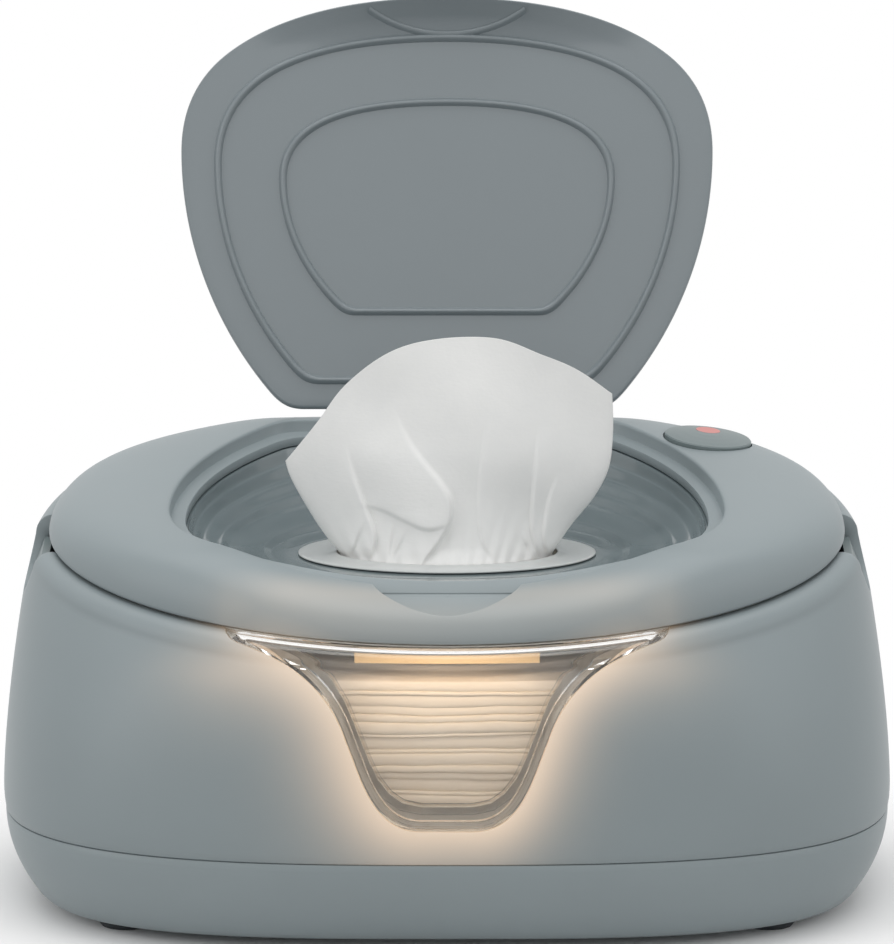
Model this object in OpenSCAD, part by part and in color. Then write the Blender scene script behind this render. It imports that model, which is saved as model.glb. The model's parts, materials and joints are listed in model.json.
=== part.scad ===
// Baby wipe warmer: an oval housing with a heated bin, a refill cover on a rear hinge, and a flip lid
// over the dish that the wipes come out of. It is drawn with the flip lid open on its stop.
// X points right, Y to the back, Z up. The origin is on the table, under the middle of the housing.

/* [Housing] */
// Half width at the widest level
half_width = 123; // [121:0.5:125]
// Half width less half depth, at the base joint
depth_loss_low = 38.5; // [37.5:0.5:39.5]
// Half width less half depth, at the shoulder
depth_loss_high = 32.5; // [32:0.5:33]
// Thickness of the housing's walls
wall = 2.6; // [2.2:0.1:3]
// Height of the joint between base and body
joint_z = 26.6; // [26:0.2:28]

/* [Cover joint] */
// Height of the sloping cover joint at the middle of the housing
parting_z = 100.4; // [100.4:0.1:100.8]
// Rise of the cover joint towards the back, per millimetre
parting_slope = 0.19; // [0.185:0.005:0.195]
// Half width of the cover at the joint
cover_half_width = 110.2; // [109.8:0.1:110.4]
// Open gap between cover and body
cover_gap = 1; // [0.8:0.1:1.2]

/* [Flip lid] */
// Thickness of the lid
lid_thick = 2.6; // [2.2:0.1:2.8]
// Angle from closed to open
lid_angle = 114; // [100:1:116]

/* [Wipes] */
// Height of the stack
stack_height = 45; // [30:1:46]
// Number of folded layers in the stack
stack_layers = 15; // [10:1:18]

/* [Hidden] */

// Points round one housing ring
around = 60;
// Angles of those points, counted from +X towards the back
angles = [for (i = [0:around - 1]) 360 * i / around];
// Height of the shoulder at the middle, where the wall starts to turn inwards
shoulder_z = 95;
// Radius of the shoulder
shoulder_r = 5;
// Half width at the shoulder
shoulder_half = half_width - 7.5;
// Height of the body's rim at the middle
rim_z = parting_z - cover_gap / 2;
// Half width of the tub below its flange
bin_half = 99.4;
bin_wall = 1.8;
bin_floor_z = 28;
// The two hinge axes, each along X
cover_hinge = [0, 85, 109.5];
lid_hinge = [0, 62.5, 117.3];
hinge_pin_r = 1.5;
lid_pin_r = 1.1;
running_gap = 0.05;
// Middle and slope of the round power button
button_at = [73.5, 45.5, 117.2];
button_tilt = [1.7, 6.1, 0];
button_r = 12.3;
button_gap = 0.35;
button_travel = 0.6;
// Feet and screws of the base
foot_at = [88, 45];
foot_r = 7.5;
screw_at = [62, 46];
// Screws of the cover's liner
liner_screw_at = [[94, 14], [-94, 14], [55.5, 56.5], [-55.5, 56.5], [55, -55], [-55, -55]];
liner_screw_long = 5;
// Middle of the slot that the wipes come out of
slot_y = -5;
slot_z = 95;

plastic = [0.54, 0.58, 0.59];
plastic_dark = [0.42, 0.46, 0.47];
soft_white = [0.9, 0.9, 0.88];
rubber = [0.2, 0.22, 0.23];
board_green = [0.1, 0.4, 0.25];
metal = [0.75, 0.75, 0.77];
copper = [0.8, 0.45, 0.2];
clear = [0.9, 0.85, 0.78, 0.5];

function lerp(a, b, k) = a + (b - a) * k;
function clamp(v, low, high) = max(low, min(high, v));
function sum(v) = v * [for (i = v) 1];
function mean(points) = [for (k = [0:2]) sum([for (p = points) p[k]]) / len(points)];
function bezier(p, k) =
    pow(1 - k, 3) * p[0] + 3 * k * pow(1 - k, 2) * p[1] + 3 * k * k * (1 - k) * p[2] + k * k * k * p[3];
function parting_at(y) = parting_z + parting_slope * y;

// Rounded oval: exponent 2 is an ellipse and a higher one is squarer
function oval_point(a, b, n, t) =
    let (c = cos(t), s = sin(t), k = pow(pow(abs(c), n) + pow(abs(s), n), -1 / n)) [a * c * k, b * s * k];
// Exponent of the housing's outline, where up runs from 0 at the base joint to 1 at the shoulder
function squareness(up, t) =
    let (front = lerp(2.85, 2, pow(up, 1.5)), rear = lerp(2.85, 2.4, pow(up, 1.5)))
    t > 0 && t < 180 ? front + (rear - front) * abs(sin(2 * t)) : front;
function ring(a, b, up, z) = [
    for (t = angles)
        let (p = oval_point(a, b, squareness(up, t), t)) [p[0], p[1], z + parting_slope * p[1] * up * up]
];
function wall_half(z) =
    half_width - 7.5 * pow(max(0, (z - 32) / 63), 1.6) - 0.5 * pow(max(0, (32 - z) / 5.4), 2);
function wall_ring(z, inset) =
    let (
        up = clamp((z - joint_z) / (shoulder_z - joint_z), 0, 1),
        a = wall_half(z) - inset,
        b = a - lerp(depth_loss_low, depth_loss_high, up)
    )
    ring(a, b, up, z);
// A ring on the sloping cover joint
function joint_ring(a, z) = ring(a, a - depth_loss_high, 1, z);

// Closed skin over rings with equal numbers of points. The rings run counterclockwise seen from above
// where they climb the outside. "loop" joins the last ring to the first, "flat" closes both ends with a
// fan, and "sheet" closes them with a strip.
module skin(rings, ends = "flat") {
    n = len(rings[0]);
    m = len(rings);
    loop = ends == "loop";
    points = [for (r = rings) each r];
    sides = [
        for (i = [0:loop ? m - 1 : m - 2], j = [0:n - 1])
            let (
                k = (j + 1) % n,
                above = (i + 1) % m * n,
                a = i * n + j,
                b = i * n + k,
                c = above + j,
                d = above + k
            )
            each [[a, c, d], [a, d, b]]
    ];
    last = (m - 1) * n;
    caps = [
        for (j = [0:n - 1])
            let (k = (j + 1) % n) each [[m * n, j, k], [m * n + 1, last + k, last + j]]
    ];
    // Ends of a thin sheet, whose rings go out along one face and back along the other
    strips = [
        for (j = [0:n / 2 - 2])
            let (k = n - 1 - j)
            each [
                [j, j + 1, k - 1],
                [j, k - 1, k],
                [last + k - 1, last + j + 1, last + j],
                [last + k, last + k - 1, last + j]
            ]
    ];
    if (loop) polyhedron(points, sides, convexity = 8);
    else if (ends == "sheet") polyhedron(points, concat(sides, strips), convexity = 8);
    else polyhedron(concat(points, [mean(rings[0]), mean(rings[m - 1])]), concat(sides, caps), convexity = 8);
}

// Tube of one radius along a route of points
function unit(v) = v / norm(v);
module tube(route, r, sides = 8) {
    last = len(route) - 1;
    skin([
        for (i = [0:last])
            let (
                along = unit(route[min(last, i + 1)] - route[max(0, i - 1)]),
                side = unit(cross(along, abs(along[0]) < 0.8 ? [1, 0, 0] : [0, 1, 0])),
                up = cross(along, side)
            )
            [for (k = [0:sides - 1]) route[i] + r * (cos(360 * k / sides) * side + sin(360 * k / sides) * up)]
    ]);
}
// Smooth route through four control points
function curve(p, steps) = [for (i = [0:steps]) bezier(p, i / steps)];

module mirror_copy(direction) {
    children();
    mirror(direction) children();
}
module at_corners(place) {
    for (x = [-1, 1], y = [-1, 1]) translate([x * place[0], y * place[1], 0]) children();
}

// Outline of the well and the lid, in plan: a front arc, two long sides, two small rear corners
// and a straight rear edge
outline_front = -58;
outline_rear = 58.5;
outline_half = 76.5;
side_start = [outline_half, -15.5];
corner_start = [51, 53.5];
corner_end = [41, outline_rear];
right_outline = concat(
    [
        for (i = [0:12])
            bezier([[0, outline_front], [53, outline_front], [outline_half, -43], side_start], i / 13)
    ],
    [for (i = [0:10]) bezier([side_start, [outline_half, 10], [67, 34.5], corner_start], i / 11)],
    [for (i = [0:3]) bezier([corner_start, [48, 57], [45.5, outline_rear], corner_end], i / 4)],
    [for (i = [0:1]) [corner_end[0] * (1 - i / 2), outline_rear]]
);
outline = concat(
    right_outline,
    [[0, outline_rear]],
    [for (i = [len(right_outline) - 1:-1:1]) [-right_outline[i][0], right_outline[i][1]]]
);
// Height of the lid's outer face when shut: a gentle rise to the back and a curl down at the front lip
function lid_height(y) = 112.5 + 0.13 * y - 0.039 * pow(max(0, -44 - y), 2);
// Drop of the ledge that the lid closes on
ledge_drop = lid_thick + 0.9;
// The outline drawn in by an inset, at a drop below the lid's outer face
function well_ring(inset, drop, shift = 0) = [
    for (p = outline)
        let (x = p[0] * (1 - inset / outline_half), y = p[1] * (1 - inset / outline_rear) + shift)
        [x, y, lid_height(y) - drop]
];
// Direction of an outline point from the middle, as an angle on the oval
function outline_angle(p) = atan2(p[1] / 58.3, p[0] / outline_half);
// Cover's outer face: from the joint (k = 0) over a convex shoulder to the well's rim (k = 1)
function cover_ring(k, inset = 0, top_inset = 0, top_drop = 0) = [
    for (p = outline)
        let (
            t = outline_angle(p),
            a = cover_half_width - inset,
            q = oval_point(a, a - depth_loss_high + 0.2, squareness(1, t < 0 ? t + 360 : t), t),
            low = [q[0], q[1], parting_at(q[1]) + cover_gap / 2],
            y = p[1] * (1 - top_inset / outline_rear),
            high = [p[0] * (1 - top_inset / outline_half), y, lid_height(y) - top_drop],
            fullness = 1 - 0.45 * pow(max(0, sin(t)), 8),
            bend = [q[0], q[1], lerp(low[2], high[2] + top_drop - inset, fullness)]
        )
        pow(1 - k, 2) * low + 2 * k * (1 - k) * bend + k * k * high
];

// Window outline, seen from the front as [x, z]: a funnel that narrows to a rounded foot
window_foot = 36.2;
right_window = concat(
    [[7 / 2, window_foot]],
    [for (i = [0:5]) bezier([[7, window_foot], [20.5, window_foot], [23.4, 52], [27.3, 61]], i / 6)],
    [for (i = [0:7]) bezier([[27.3, 61], [32, 76], [43, 81.5], [58.5, 86.5]], i / 7)],
    [[58.5, 104]]
);
window_outline = concat(
    right_window, [for (i = [len(right_window) - 1:-1:0]) [-right_window[i][0], right_window[i][1]]]
);
// The window outline drawn in by an inset, as a prism through the front wall
module window_prism(inset, back = -40) {
    translate([0, back, 0]) rotate([90, 0, 0])
        linear_extrude(110 + back) offset(delta = -inset) polygon(window_outline);
}

module base_shell() {
    // The underside curves in as a parabola from the joint to the flat bottom
    bottom_z = 3;
    function under_ring(z, inset) =
        let (
            k = (joint_z - z) / (joint_z - bottom_z),
            a = half_width - 0.5 - 10.1 * k * k - inset,
            b = half_width - depth_loss_low - 0.5 - 9.8 * k * k - inset
        )
        [for (t = angles) let (p = oval_point(a, b, 2.85 + 0.3 * k, t)) [p[0], p[1], z]];
    tongue_top = joint_z + 3;
    color(plastic) difference() {
        union() {
            skin([
                under_ring(bottom_z, 2.2), under_ring(bottom_z + 0.7, 0.5), under_ring(bottom_z + 3, 0),
                under_ring(9.5, 0), under_ring(14, 0), under_ring(20, 0), under_ring(joint_z - 0.5, 0),
                under_ring(joint_z, 0.6), wall_ring(joint_z, wall + 0.7), wall_ring(tongue_top, wall + 0.9),
                wall_ring(tongue_top, wall + 2), under_ring(joint_z - 4, wall + 2), under_ring(14, wall),
                under_ring(8.4, wall), under_ring(5.8, wall + 3)
            ]);
            at_corners(foot_at) translate([0, 0, 2.2]) cylinder(h = 6.4, r = foot_r + 1.6, $fn = 48);
            at_corners(screw_at) translate([0, 0, 4]) cylinder(h = 13.8, r = 4.6, $fn = 40);
            // Posts of the circuit board
            for (x = [-34, 34], y = [-8, 34]) translate([x, y, 4]) cylinder(h = 5, r = 2.6, $fn = 32);
            // Ribs that stiffen the floor
            for (x = [-52, 52]) translate([x - 0.8, -50, 4]) cube([1.6, 100, 5]);
            // Collar of the power socket
            translate([-40, 68, 16]) rotate([-90, 0, 0]) cylinder(h = 10.5, r = 8, $fn = 48);
        }
        at_corners(foot_at) translate([0, 0, 0]) cylinder(h = 4.4, r = foot_r + 0.2, $fn = 48);
        at_corners(screw_at) {
            cylinder(h = 30, r = 1.7, $fn = 32);
            cylinder(h = 8, r = 3.6, $fn = 40);
        }
        for (x = [-34, 34], y = [-8, 34]) translate([x, y, 5]) cylinder(h = 6, r = 0.9, $fn = 24);
        // Bore for the plug, and the seat of the socket behind it
        translate([-40, 74.5, 16]) rotate([-90, 0, 0]) cylinder(h = 20, r = 5.6, $fn = 48);
        translate([-40, 66, 16]) rotate([-90, 0, 0]) cylinder(h = 8.6, r = 6.6, $fn = 48);
        // Vents under the board
        for (i = [-3:3]) translate([i * 7 - 1.1, -30, 0]) cube([2.2, 26, 9]);
    }
}

// The body's wall with its rolled rim: its outer face going up, and its inner face going up to the rim
flange_seat = 108.4;
outer_wall = [
    wall_ring(joint_z, 0.6), wall_ring(joint_z + 0.5, 0), wall_ring(35, 0), wall_ring(47, 0),
    wall_ring(61, 0), wall_ring(75, 0), wall_ring(87, 0), wall_ring(shoulder_z, 0),
    for (q = [30, 60, 90])
        joint_ring(shoulder_half - shoulder_r * (1 - cos(q)), lerp(shoulder_z, rim_z, sin(q)))
];
inner_wall = [
    wall_ring(joint_z, wall), wall_ring(47, wall), wall_ring(75, wall), joint_ring(112, rim_z - 5.6),
    joint_ring(105.6, rim_z - 4), joint_ring(105.6, rim_z - 1.6), joint_ring(flange_seat, rim_z - 1.6)
];
// The points of a ring that lie behind the window
function front(ring) = [for (i = [38:52]) ring[i]];
module front_wall() {
    difference() {
        skin([for (r = outer_wall) front(r)]);
        skin([for (r = concat(inner_wall, [joint_ring(flange_seat, rim_z + 1)])) front(r)]);
    }
}

// Side opening for a release button: a tongue with a round foot, on the right
tongue_z = 96.5;
tongue_r = 13;
module tongue(r, top, from_x, to_x) {
    translate([from_x, 0, 0]) rotate([90, 0, 90]) linear_extrude(to_x - from_x) intersection() {
        union() {
            translate([0, tongue_z]) circle(r, $fn = 72);
            translate([-r, tongue_z]) square([2 * r, 20]);
        }
        translate([-30, 0]) square([60, top]);
    }
}

// Slots for the cover's catches, longer at the front, where they swing out
module catch_slots() {
    mirror_copy([1, 0, 0]) translate([103.3, -7.6, 80]) cube([4, 12.4, 30]);
}

hinge_lugs = [[30.5, 35.4], [44.6, 49.5]];
module body_shell() {
    color(plastic) difference() {
        union() {
            skin(concat(
                outer_wall, [joint_ring(flange_seat, rim_z)],
                [for (i = [len(inner_wall) - 1:-1:0]) inner_wall[i]]
            ), "loop");
            // Rear hinge lugs
            mirror_copy([1, 0, 0]) for (lug = hinge_lugs)
                translate([lug[0], 0, 0]) rotate([90, 0, 90]) linear_extrude(lug[1] - lug[0]) union() {
                    translate([cover_hinge[1], cover_hinge[2]]) circle(3.6, $fn = 48);
                    polygon([[88.6, cover_hinge[2]], [84.4, 113.05], [79.3, 111.2], [79.8, 98], [83, 98.5]]);
                }
        }
        window_prism(0);
        mirror_copy([1, 0, 0]) tongue(tongue_r, 120, 107.2, 130);
        // Slots for the catches of the cover
        catch_slots();
        mirror_copy([1, 0, 0]) translate([20, cover_hinge[1], cover_hinge[2]])
            rotate([0, 90, 0]) cylinder(h = 40, r = hinge_pin_r, $fn = 40);
        // Passage of the cover's lead
        translate([lead_x, 70, lead_exit_z]) rotate([-90, 0, 0]) cylinder(h = 20, r = 1.5, $fn = 24);
    }
}

// Outside of the bin going up, grown by an amount
function bin_outside(grow) = [
    ring(bin_half - 4.5 + grow, bin_half - 36.5 + grow, 0, bin_floor_z - bin_wall),
    ring(bin_half - 2.4 + grow, bin_half - 34.6 + grow, 0, bin_floor_z + 0.6),
    ring(bin_half - 1.4 + grow, bin_half - 33.4 + grow, 0.4, 60),
    ring(bin_half + grow, bin_half - 32.5 + grow, 1, rim_z - 1.55)
];
module bin_front(grow) {
    skin([for (r = bin_outside(grow)) front(r)]);
}

// The window's frame walls, between the window and the bin's front
module window_frame(inset, width) {
    difference() {
        window_prism(inset);
        window_prism(inset + width);
    }
}
window_fit = 0.25;
seal_thick = 1.2;
// Top of the opening in the bin's front
window_top = 83.4;

module window() {
    color(clear) difference() {
        union() {
            intersection() {
                front_wall();
                window_prism(window_fit);
            }
            // Wall behind its edge, back to the seal
            difference() {
                intersection() {
                    skin([for (z = [joint_z + 1, 47, 75, shoulder_z - 0.8]) front(wall_ring(z, 1))]);
                    window_frame(window_fit, 1.8);
                }
                bin_front(seal_thick);
            }
        }
        // Seat of the bin's flange
        skin([for (z = [rim_z - 1.6, rim_z + 1]) front(joint_ring(flange_seat, z))]);
    }
}
module window_seal() {
    color(soft_white) difference() {
        intersection() {
            bin_front(seal_thick);
            window_frame(window_fit, 3);
            translate([-70, -90, 30]) cube([140, 60, window_top - 30]);
        }
        bin_front(0);
    }
}

module wipe_bin() {
    color(soft_white) difference() {
        union() {
            skin([
                each bin_outside(0),
                joint_ring(flange_seat - 0.4, rim_z - 1.55), joint_ring(flange_seat - 0.4, rim_z - 0.2),
                joint_ring(bin_half - bin_wall, rim_z - 0.2),
                ring(bin_half - 1.4 - bin_wall, bin_half - 33.4 - bin_wall, 0.4, 60),
                ring(bin_half - 2.6 - bin_wall, bin_half - 34.8 - bin_wall, 0, bin_floor_z + 2),
                ring(bin_half - 5.5 - bin_wall, bin_half - 37.5 - bin_wall, 0, bin_floor_z)
            ]);
            // Posts that the base is screwed to
            at_corners(screw_at) translate([0, 0, 17.9]) cylinder(h = 9, r = 4, $fn = 40);
        }
        at_corners(screw_at) translate([0, 0, 10]) cylinder(h = 15.6, r = 1.25, $fn = 24);
        intersection() {
            window_prism(2.2);
            translate([-70, -110, 20]) cube([140, 80, window_top - 20]);
        }
        catch_slots();
    }
}

// Heater stack glued under the bin's floor
heater_half = [74, 40];
heater_top = bin_floor_z - bin_wall;
module rounded_plate(half, r, z, h) {
    translate([0, 0, z]) linear_extrude(h) union() {
        square([2 * half[0], 2 * (half[1] - r)], center = true);
        square([2 * (half[0] - r), 2 * half[1]], center = true);
        for (x = [-1, 1], y = [-1, 1]) translate([x * (half[0] - r), y * (half[1] - r)]) circle(r, $fn = 40);
    }
}
control_at = [[-18, -20], [16, -20]];
module heat_spreader() {
    color(metal) rounded_plate(heater_half, 8, heater_top - 1, 1);
}
module heater_pad() {
    color([0.75, 0.3, 0.15]) difference() {
        rounded_plate(heater_half - [3, 3], 6, heater_top - 2.4, 1.4);
        for (p = control_at) translate([p[0], p[1], 0]) cylinder(h = 40, r = 9, $fn = 48);
    }
}
module insulation_pad() {
    color([0.85, 0.83, 0.75]) difference() {
        rounded_plate(heater_half - [2, 2], 7, heater_top - 6.4, 4);
        for (p = control_at) translate([p[0], p[1], 0]) cylinder(h = 40, r = 9, $fn = 48);
    }
}
module thermostat() {
    translate([control_at[0][0], control_at[0][1], heater_top - 1]) mirror([0, 0, 1]) {
        color(metal) cylinder(h = 1.2, r = 8, $fn = 48);
        color([0.35, 0.25, 0.2]) translate([0, 0, 1.2]) cylinder(h = 6, r = 6.6, $fn = 48);
        color(metal) for (x = [-4, 4]) translate([x - 0.4, -2, 7.2]) cube([0.8, 4, 3]);
    }
}
module thermal_fuse() {
    translate([control_at[1][0], control_at[1][1], heater_top - 1 - 2.2]) {
        color(metal) rotate([0, 90, 0]) translate([0, 0, -6]) cylinder(h = 12, r = 2.2, $fn = 32);
        color(copper) rotate([0, 90, 0]) translate([0, 0, -8]) cylinder(h = 16, r = 0.5, $fn = 20);
    }
}

board_z = 9;
module main_circuit_board() {
    color(board_green) difference() {
        translate([-38, -12, board_z]) cube([76, 50, 1.6]);
        for (x = [-34, 34], y = [-8, 34]) translate([x, y, 0]) cylinder(h = 20, r = 1.6, $fn = 24);
    }
    top = board_z + 1.6;
    color([0.15, 0.15, 0.17]) {
        translate([-16, 18, top]) cylinder(h = 7, r = 4, $fn = 40);
        translate([-6, 20, top]) cylinder(h = 6, r = 3, $fn = 40);
        translate([4, 4, top]) cube([8, 6, 1.6]);
        translate([16, 14, top]) cube([10, 12, 6]);
    }
    color(soft_white) {
        translate([-38, 30, top]) cube([14, 8, 6]);
        translate([18, -12, top]) cube([14, 6, 6]);
        translate([-4, 31, top]) cube([10, 7, 6]);
    }
}

module power_socket() {
    translate([-40, 0, 16]) rotate([-90, 0, 0]) {
        color(rubber) difference() {
            union() {
                translate([0, 0, 66]) cylinder(h = 8.5, r = 6.5, $fn = 48);
                translate([-5.5, -5, 56]) cube([11, 10, 10.01]);
            }
            translate([0, 0, 61]) cylinder(h = 20, r = 2.8, $fn = 40);
        }
        color(metal) translate([0, 0, 60.5]) cylinder(h = 13, r = 0.95, $fn = 24);
    }
}

module socket_leads() {
    color([0.7, 0.1, 0.1]) for (x = [-1.6, 1.6])
        tube(concat(
            [[x - 40, 55.9, 15]],
            curve([[x - 40, 54, 15], [x - 40, 47, 15], [x - 31, 47, 13.6], [x - 31, 40, 13.6]], 6),
            [[x - 31, 38.1, 13.6]]
        ), 0.8);
}
module heater_leads() {
    color([0.85, 0.8, 0.75]) for (x = [22, 28])
        tube(concat(
            [[x, -12.1, 13.6]],
            curve([[x, -14, 13.6], [x, -27, 13.6], [x + 8, -41.5, 9], [x + 8, -41.5, 20]], 8),
            curve([[x + 8, -41.5, 21.5], [x + 8, -41.5, 24.4], [x + 8, -41, 24.4], [x + 8, -39, 24.4]], 4),
            [[x + 8, -37.1, 24.4]]
        ), 0.6);
}

module lead(route) {
    color(rubber) tube(route, 1.1);
}
// The cover's lead runs up behind the bin, out of the wall, and along the hinge axis
lead_x = 8;
lead_turn_x = 12;
lead_behind_y = 77.2;
lead_exit_z = cover_hinge[2] - 3.2;
// Place where it enters the cover, as [x, z]
lead_in = [20, 117.3];
module cover_lead_lower() {
    lead(concat(
        [[1, 38.1, 13.6]],
        curve([[1, 40, 13.6], [1, 56, 13.6], [lead_x, lead_behind_y, 13], [lead_x, lead_behind_y, 34]], 10),
        [for (z = [54, 74, 94]) [lead_x, lead_behind_y, z]],
        curve([[lead_x, lead_behind_y, 99], [lead_x, lead_behind_y, lead_exit_z],
            [lead_x, lead_behind_y + 1, lead_exit_z], [lead_x, lead_behind_y + 4.4, lead_exit_z]], 4),
        curve([[lead_x, lead_behind_y + 5.4, lead_exit_z], [lead_x, cover_hinge[1], lead_exit_z],
            [lead_x, cover_hinge[1], cover_hinge[2]], [lead_turn_x - 1, cover_hinge[1], cover_hinge[2]]], 6),
        [[lead_turn_x, cover_hinge[1], cover_hinge[2]]]
    ));
}
module cover_lead_upper() {
    start = lead_turn_x + 0.05;
    lead(concat(
        [[start, cover_hinge[1], cover_hinge[2]]],
        curve([[start + 1, cover_hinge[1], cover_hinge[2]], [start + 7, cover_hinge[1] + 0.6, cover_hinge[2]],
            [lead_in[0], 88.5, lead_in[1]], [lead_in[0], 80, lead_in[1]]], 9),
        [[lead_in[0], 77, lead_in[1]], [lead_in[0], 74, lead_in[1]]]
    ));
}

module rubber_feet() {
    color(rubber) at_corners(foot_at) {
        cylinder(h = 1, r1 = foot_r - 0.8, r2 = foot_r, $fn = 48);
        translate([0, 0, 1]) cylinder(h = 3.4, r = foot_r, $fn = 48);
    }
}
module base_screws() {
    color(metal) at_corners(screw_at) {
        translate([0, 0, 5.6]) cylinder(h = 2.4, r = 3, $fn = 40);
        translate([0, 0, 8]) cylinder(h = 17, r = 1.25, $fn = 24);
    }
}
module cover_hinge_pins() {
    color(metal) mirror_copy([1, 0, 0]) translate([hinge_lugs[0][0], cover_hinge[1], cover_hinge[2]])
        rotate([0, 90, 0]) cylinder(h = hinge_lugs[1][1] - hinge_lugs[0][0], r = hinge_pin_r, $fn = 40);
}

// Folded wipes: each layer bulges a little, and neighbours lie a little off each other
module wipe_stack() {
    layer = stack_height / stack_layers;
    function stack_ring(i, half, z) = [
        for (j = [0:31])
            let (t = 360 * j / 32, p = oval_point(86.5 + half, 53.5 + half, 2.9, t))
            [p[0] + 0.5 * sin(i * 131), p[1] - 8 + 0.5 * sin(i * 77), z + 0.35 * sin(i * 50 + 2 * t)]
    ];
    color(soft_white) skin(concat(
        [[for (p = stack_ring(0, -1.4, 0)) [p[0], p[1], bin_floor_z + 0.3]]],
        [for (i = [0:stack_layers - 1]) each [
            stack_ring(i, 0, bin_floor_z + 1 + (i + 0.35) * layer),
            stack_ring(i, -1.1, bin_floor_z + 1 + (i + 0.95) * layer)
        ]]
    ));
}

// Hollow of the finger scoop: a round recess in plan, with a floor that dips in a long arc
scoop_at = [0, -54.25];
scoop_r = 20.25;
scoop_arc_at = [-69.3, 116.7];
scoop_arc_r = 25;
module scoop(grow, back) {
    intersection() {
        translate([scoop_at[0], scoop_at[1], 80]) cylinder(h = 40, r = scoop_r + grow, $fn = 72);
        translate([-40, scoop_arc_at[0], scoop_arc_at[1]]) rotate([0, 90, 0])
            cylinder(h = 80, r = scoop_arc_r + grow, $fn = 120);
        translate([-40, back - 40, 80]) cube([80, 40, 40]);
    }
}
module at_liner_screws() {
    for (p = liner_screw_at)
        translate([p[0], p[1], parting_at(p[1])]) rotate([atan(parting_slope), 0, 0]) children();
}
liner_low = 0.6;
liner_high = 2;
function above_liner(ring) = [for (p = ring) [p[0], p[1], max(p[2], parting_at(p[1]) + liner_high + 0.15)]];
catch_half = 4;
module cover_shell() {
    under_drop = ledge_drop + 2.4;
    color(plastic) difference() {
        union() {
            skin([
                for (k = [0, 0.14, 0.3, 0.48, 0.66, 0.84, 1]) cover_ring(k),
                well_ring(0.4, 0.5), well_ring(0.45, ledge_drop), well_ring(4.6, ledge_drop),
                well_ring(4.6, under_drop),
                for (k = [1, 0.7, 0.35]) above_liner(cover_ring(k, wall - 0.2, -1.5, under_drop)),
                cover_ring(0, wall - 0.2)
            ], "loop");
            // Under the dome: walls of the finger scoop, and bosses for the liner's screws
            intersection() {
                skin([for (k = [0, 0.3, 0.65, 1]) cover_ring(k, 1.2, 0, 1.2)]);
                union() {
                    difference() {
                        scoop(1.7, -54.9);
                        skin([well_ring(0.45, ledge_drop), well_ring(0.4, -8)]);
                    }
                    at_liner_screws() translate([0, 0, liner_high + 0.1]) cylinder(h = 40, r = 3, $fn = 32);
                }
            }
            // Cradle of the lid's hinge
            translate([-21, 58.8, 112.7]) cube([42, 9.4, 5.9]);
            // Catches at the sides
            mirror_copy([1, 0, 0]) {
                translate([104.9, -catch_half, 88]) cube([1.6, 2 * catch_half, 16]);
                translate([103.8, -catch_half, 88]) cube([2, 2 * catch_half, 1.4]);
                translate([104.9, -catch_half, 101.4]) cube([3.6, 2 * catch_half, 2.8]);
            }
            // Rear hinge knuckles on their arms
            mirror_copy([1, 0, 0]) translate([36, 0, 0]) rotate([90, 0, 90]) linear_extrude(8) union() {
                translate([cover_hinge[1], cover_hinge[2]]) circle(3.4, $fn = 48);
                polygon([
                    [81.9, 108.9], [88.4, 109.9], [87, 113.4], [80, 117.6], [76.4, 118.2], [76.2, 116.4],
                    [80.6, 114.6]
                ]);
            }
        }
        // Finger scoop in the front edge
        scoop(0, -56.3);
        // Room for the lid's knuckle
        translate([-14.6, 53, 114.2]) cube([29.2, 13.5, 10]);
        translate([-20.5, lid_hinge[1], lid_hinge[2]]) rotate([0, 90, 0])
            cylinder(h = 41, r = lid_pin_r, $fn = 32);
        // Opening of the power button
        translate(button_at) rotate(button_tilt) translate([0, 0, -12])
            cylinder(h = 24, r = button_r + button_gap, $fn = 72);
        mirror_copy([1, 0, 0]) translate([30, cover_hinge[1], cover_hinge[2]])
            rotate([0, 90, 0]) cylinder(h = 20, r = hinge_pin_r + running_gap, $fn = 40);
        at_liner_screws() cylinder(h = liner_screw_long + 0.4, r = 0.95, $fn = 24);
        // Hole that the lead comes in by
        translate([lead_in[0], 73, lead_in[1]]) rotate([-90, 0, 0]) cylinder(h = 10, r = 1.35, $fn = 24);
    }
}

// Dish that drops in soft steps from the ledge to the slot
slot_half = [39, 24];
dish_inset = 5.4;
// Depth profile: share of the way out from the slot, and share of the climb to the ledge
dish_steps = [
    [0, 0], [0.12, 0.02], [0.3, 0.07], [0.38, 0.16], [0.66, 0.3],
    [0.74, 0.42], [0.88, 0.6], [0.96, 0.8], [1, 1]
];
function dish_ring(step, down) = [
    for (p = outline)
        let (
            t = outline_angle(p),
            x = p[0] * (1 - dish_inset / outline_half),
            y = p[1] * (1 - dish_inset / outline_rear),
            slot = [slot_half[0] * cos(t), slot_y + slot_half[1] * sin(t)],
            out = down * (step[0] > 0.8 ? 0.9 : 0) / norm([x, y - slot_y]),
            f = step[0] + out
        )
        [
            lerp(slot[0], x, f), lerp(slot[1], y, f),
            lerp(slot_z, lid_height(y) - ledge_drop - 2.45, step[1]) - (step[0] > 0.8 ? down * 0.5 : down)
        ]
];
module dispenser_dish() {
    top_drop = ledge_drop + 2.8;
    flange = 1.6;
    color(plastic_dark) difference() {
        skin([
            for (i = [0, 2, 4, 6]) dish_ring(dish_steps[i], 2),
            well_ring(dish_inset - 2.2, top_drop + flange), well_ring(1.9, top_drop + flange),
            well_ring(1.9, top_drop),
            well_ring(dish_inset - 0.2, top_drop),
            for (i = [len(dish_steps) - 1:-1:0]) dish_ring(dish_steps[i], 0)
        ], "loop");
        translate([-23.5, -94.6, 80]) cube([47, 40, 40]);
    }
}

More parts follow.
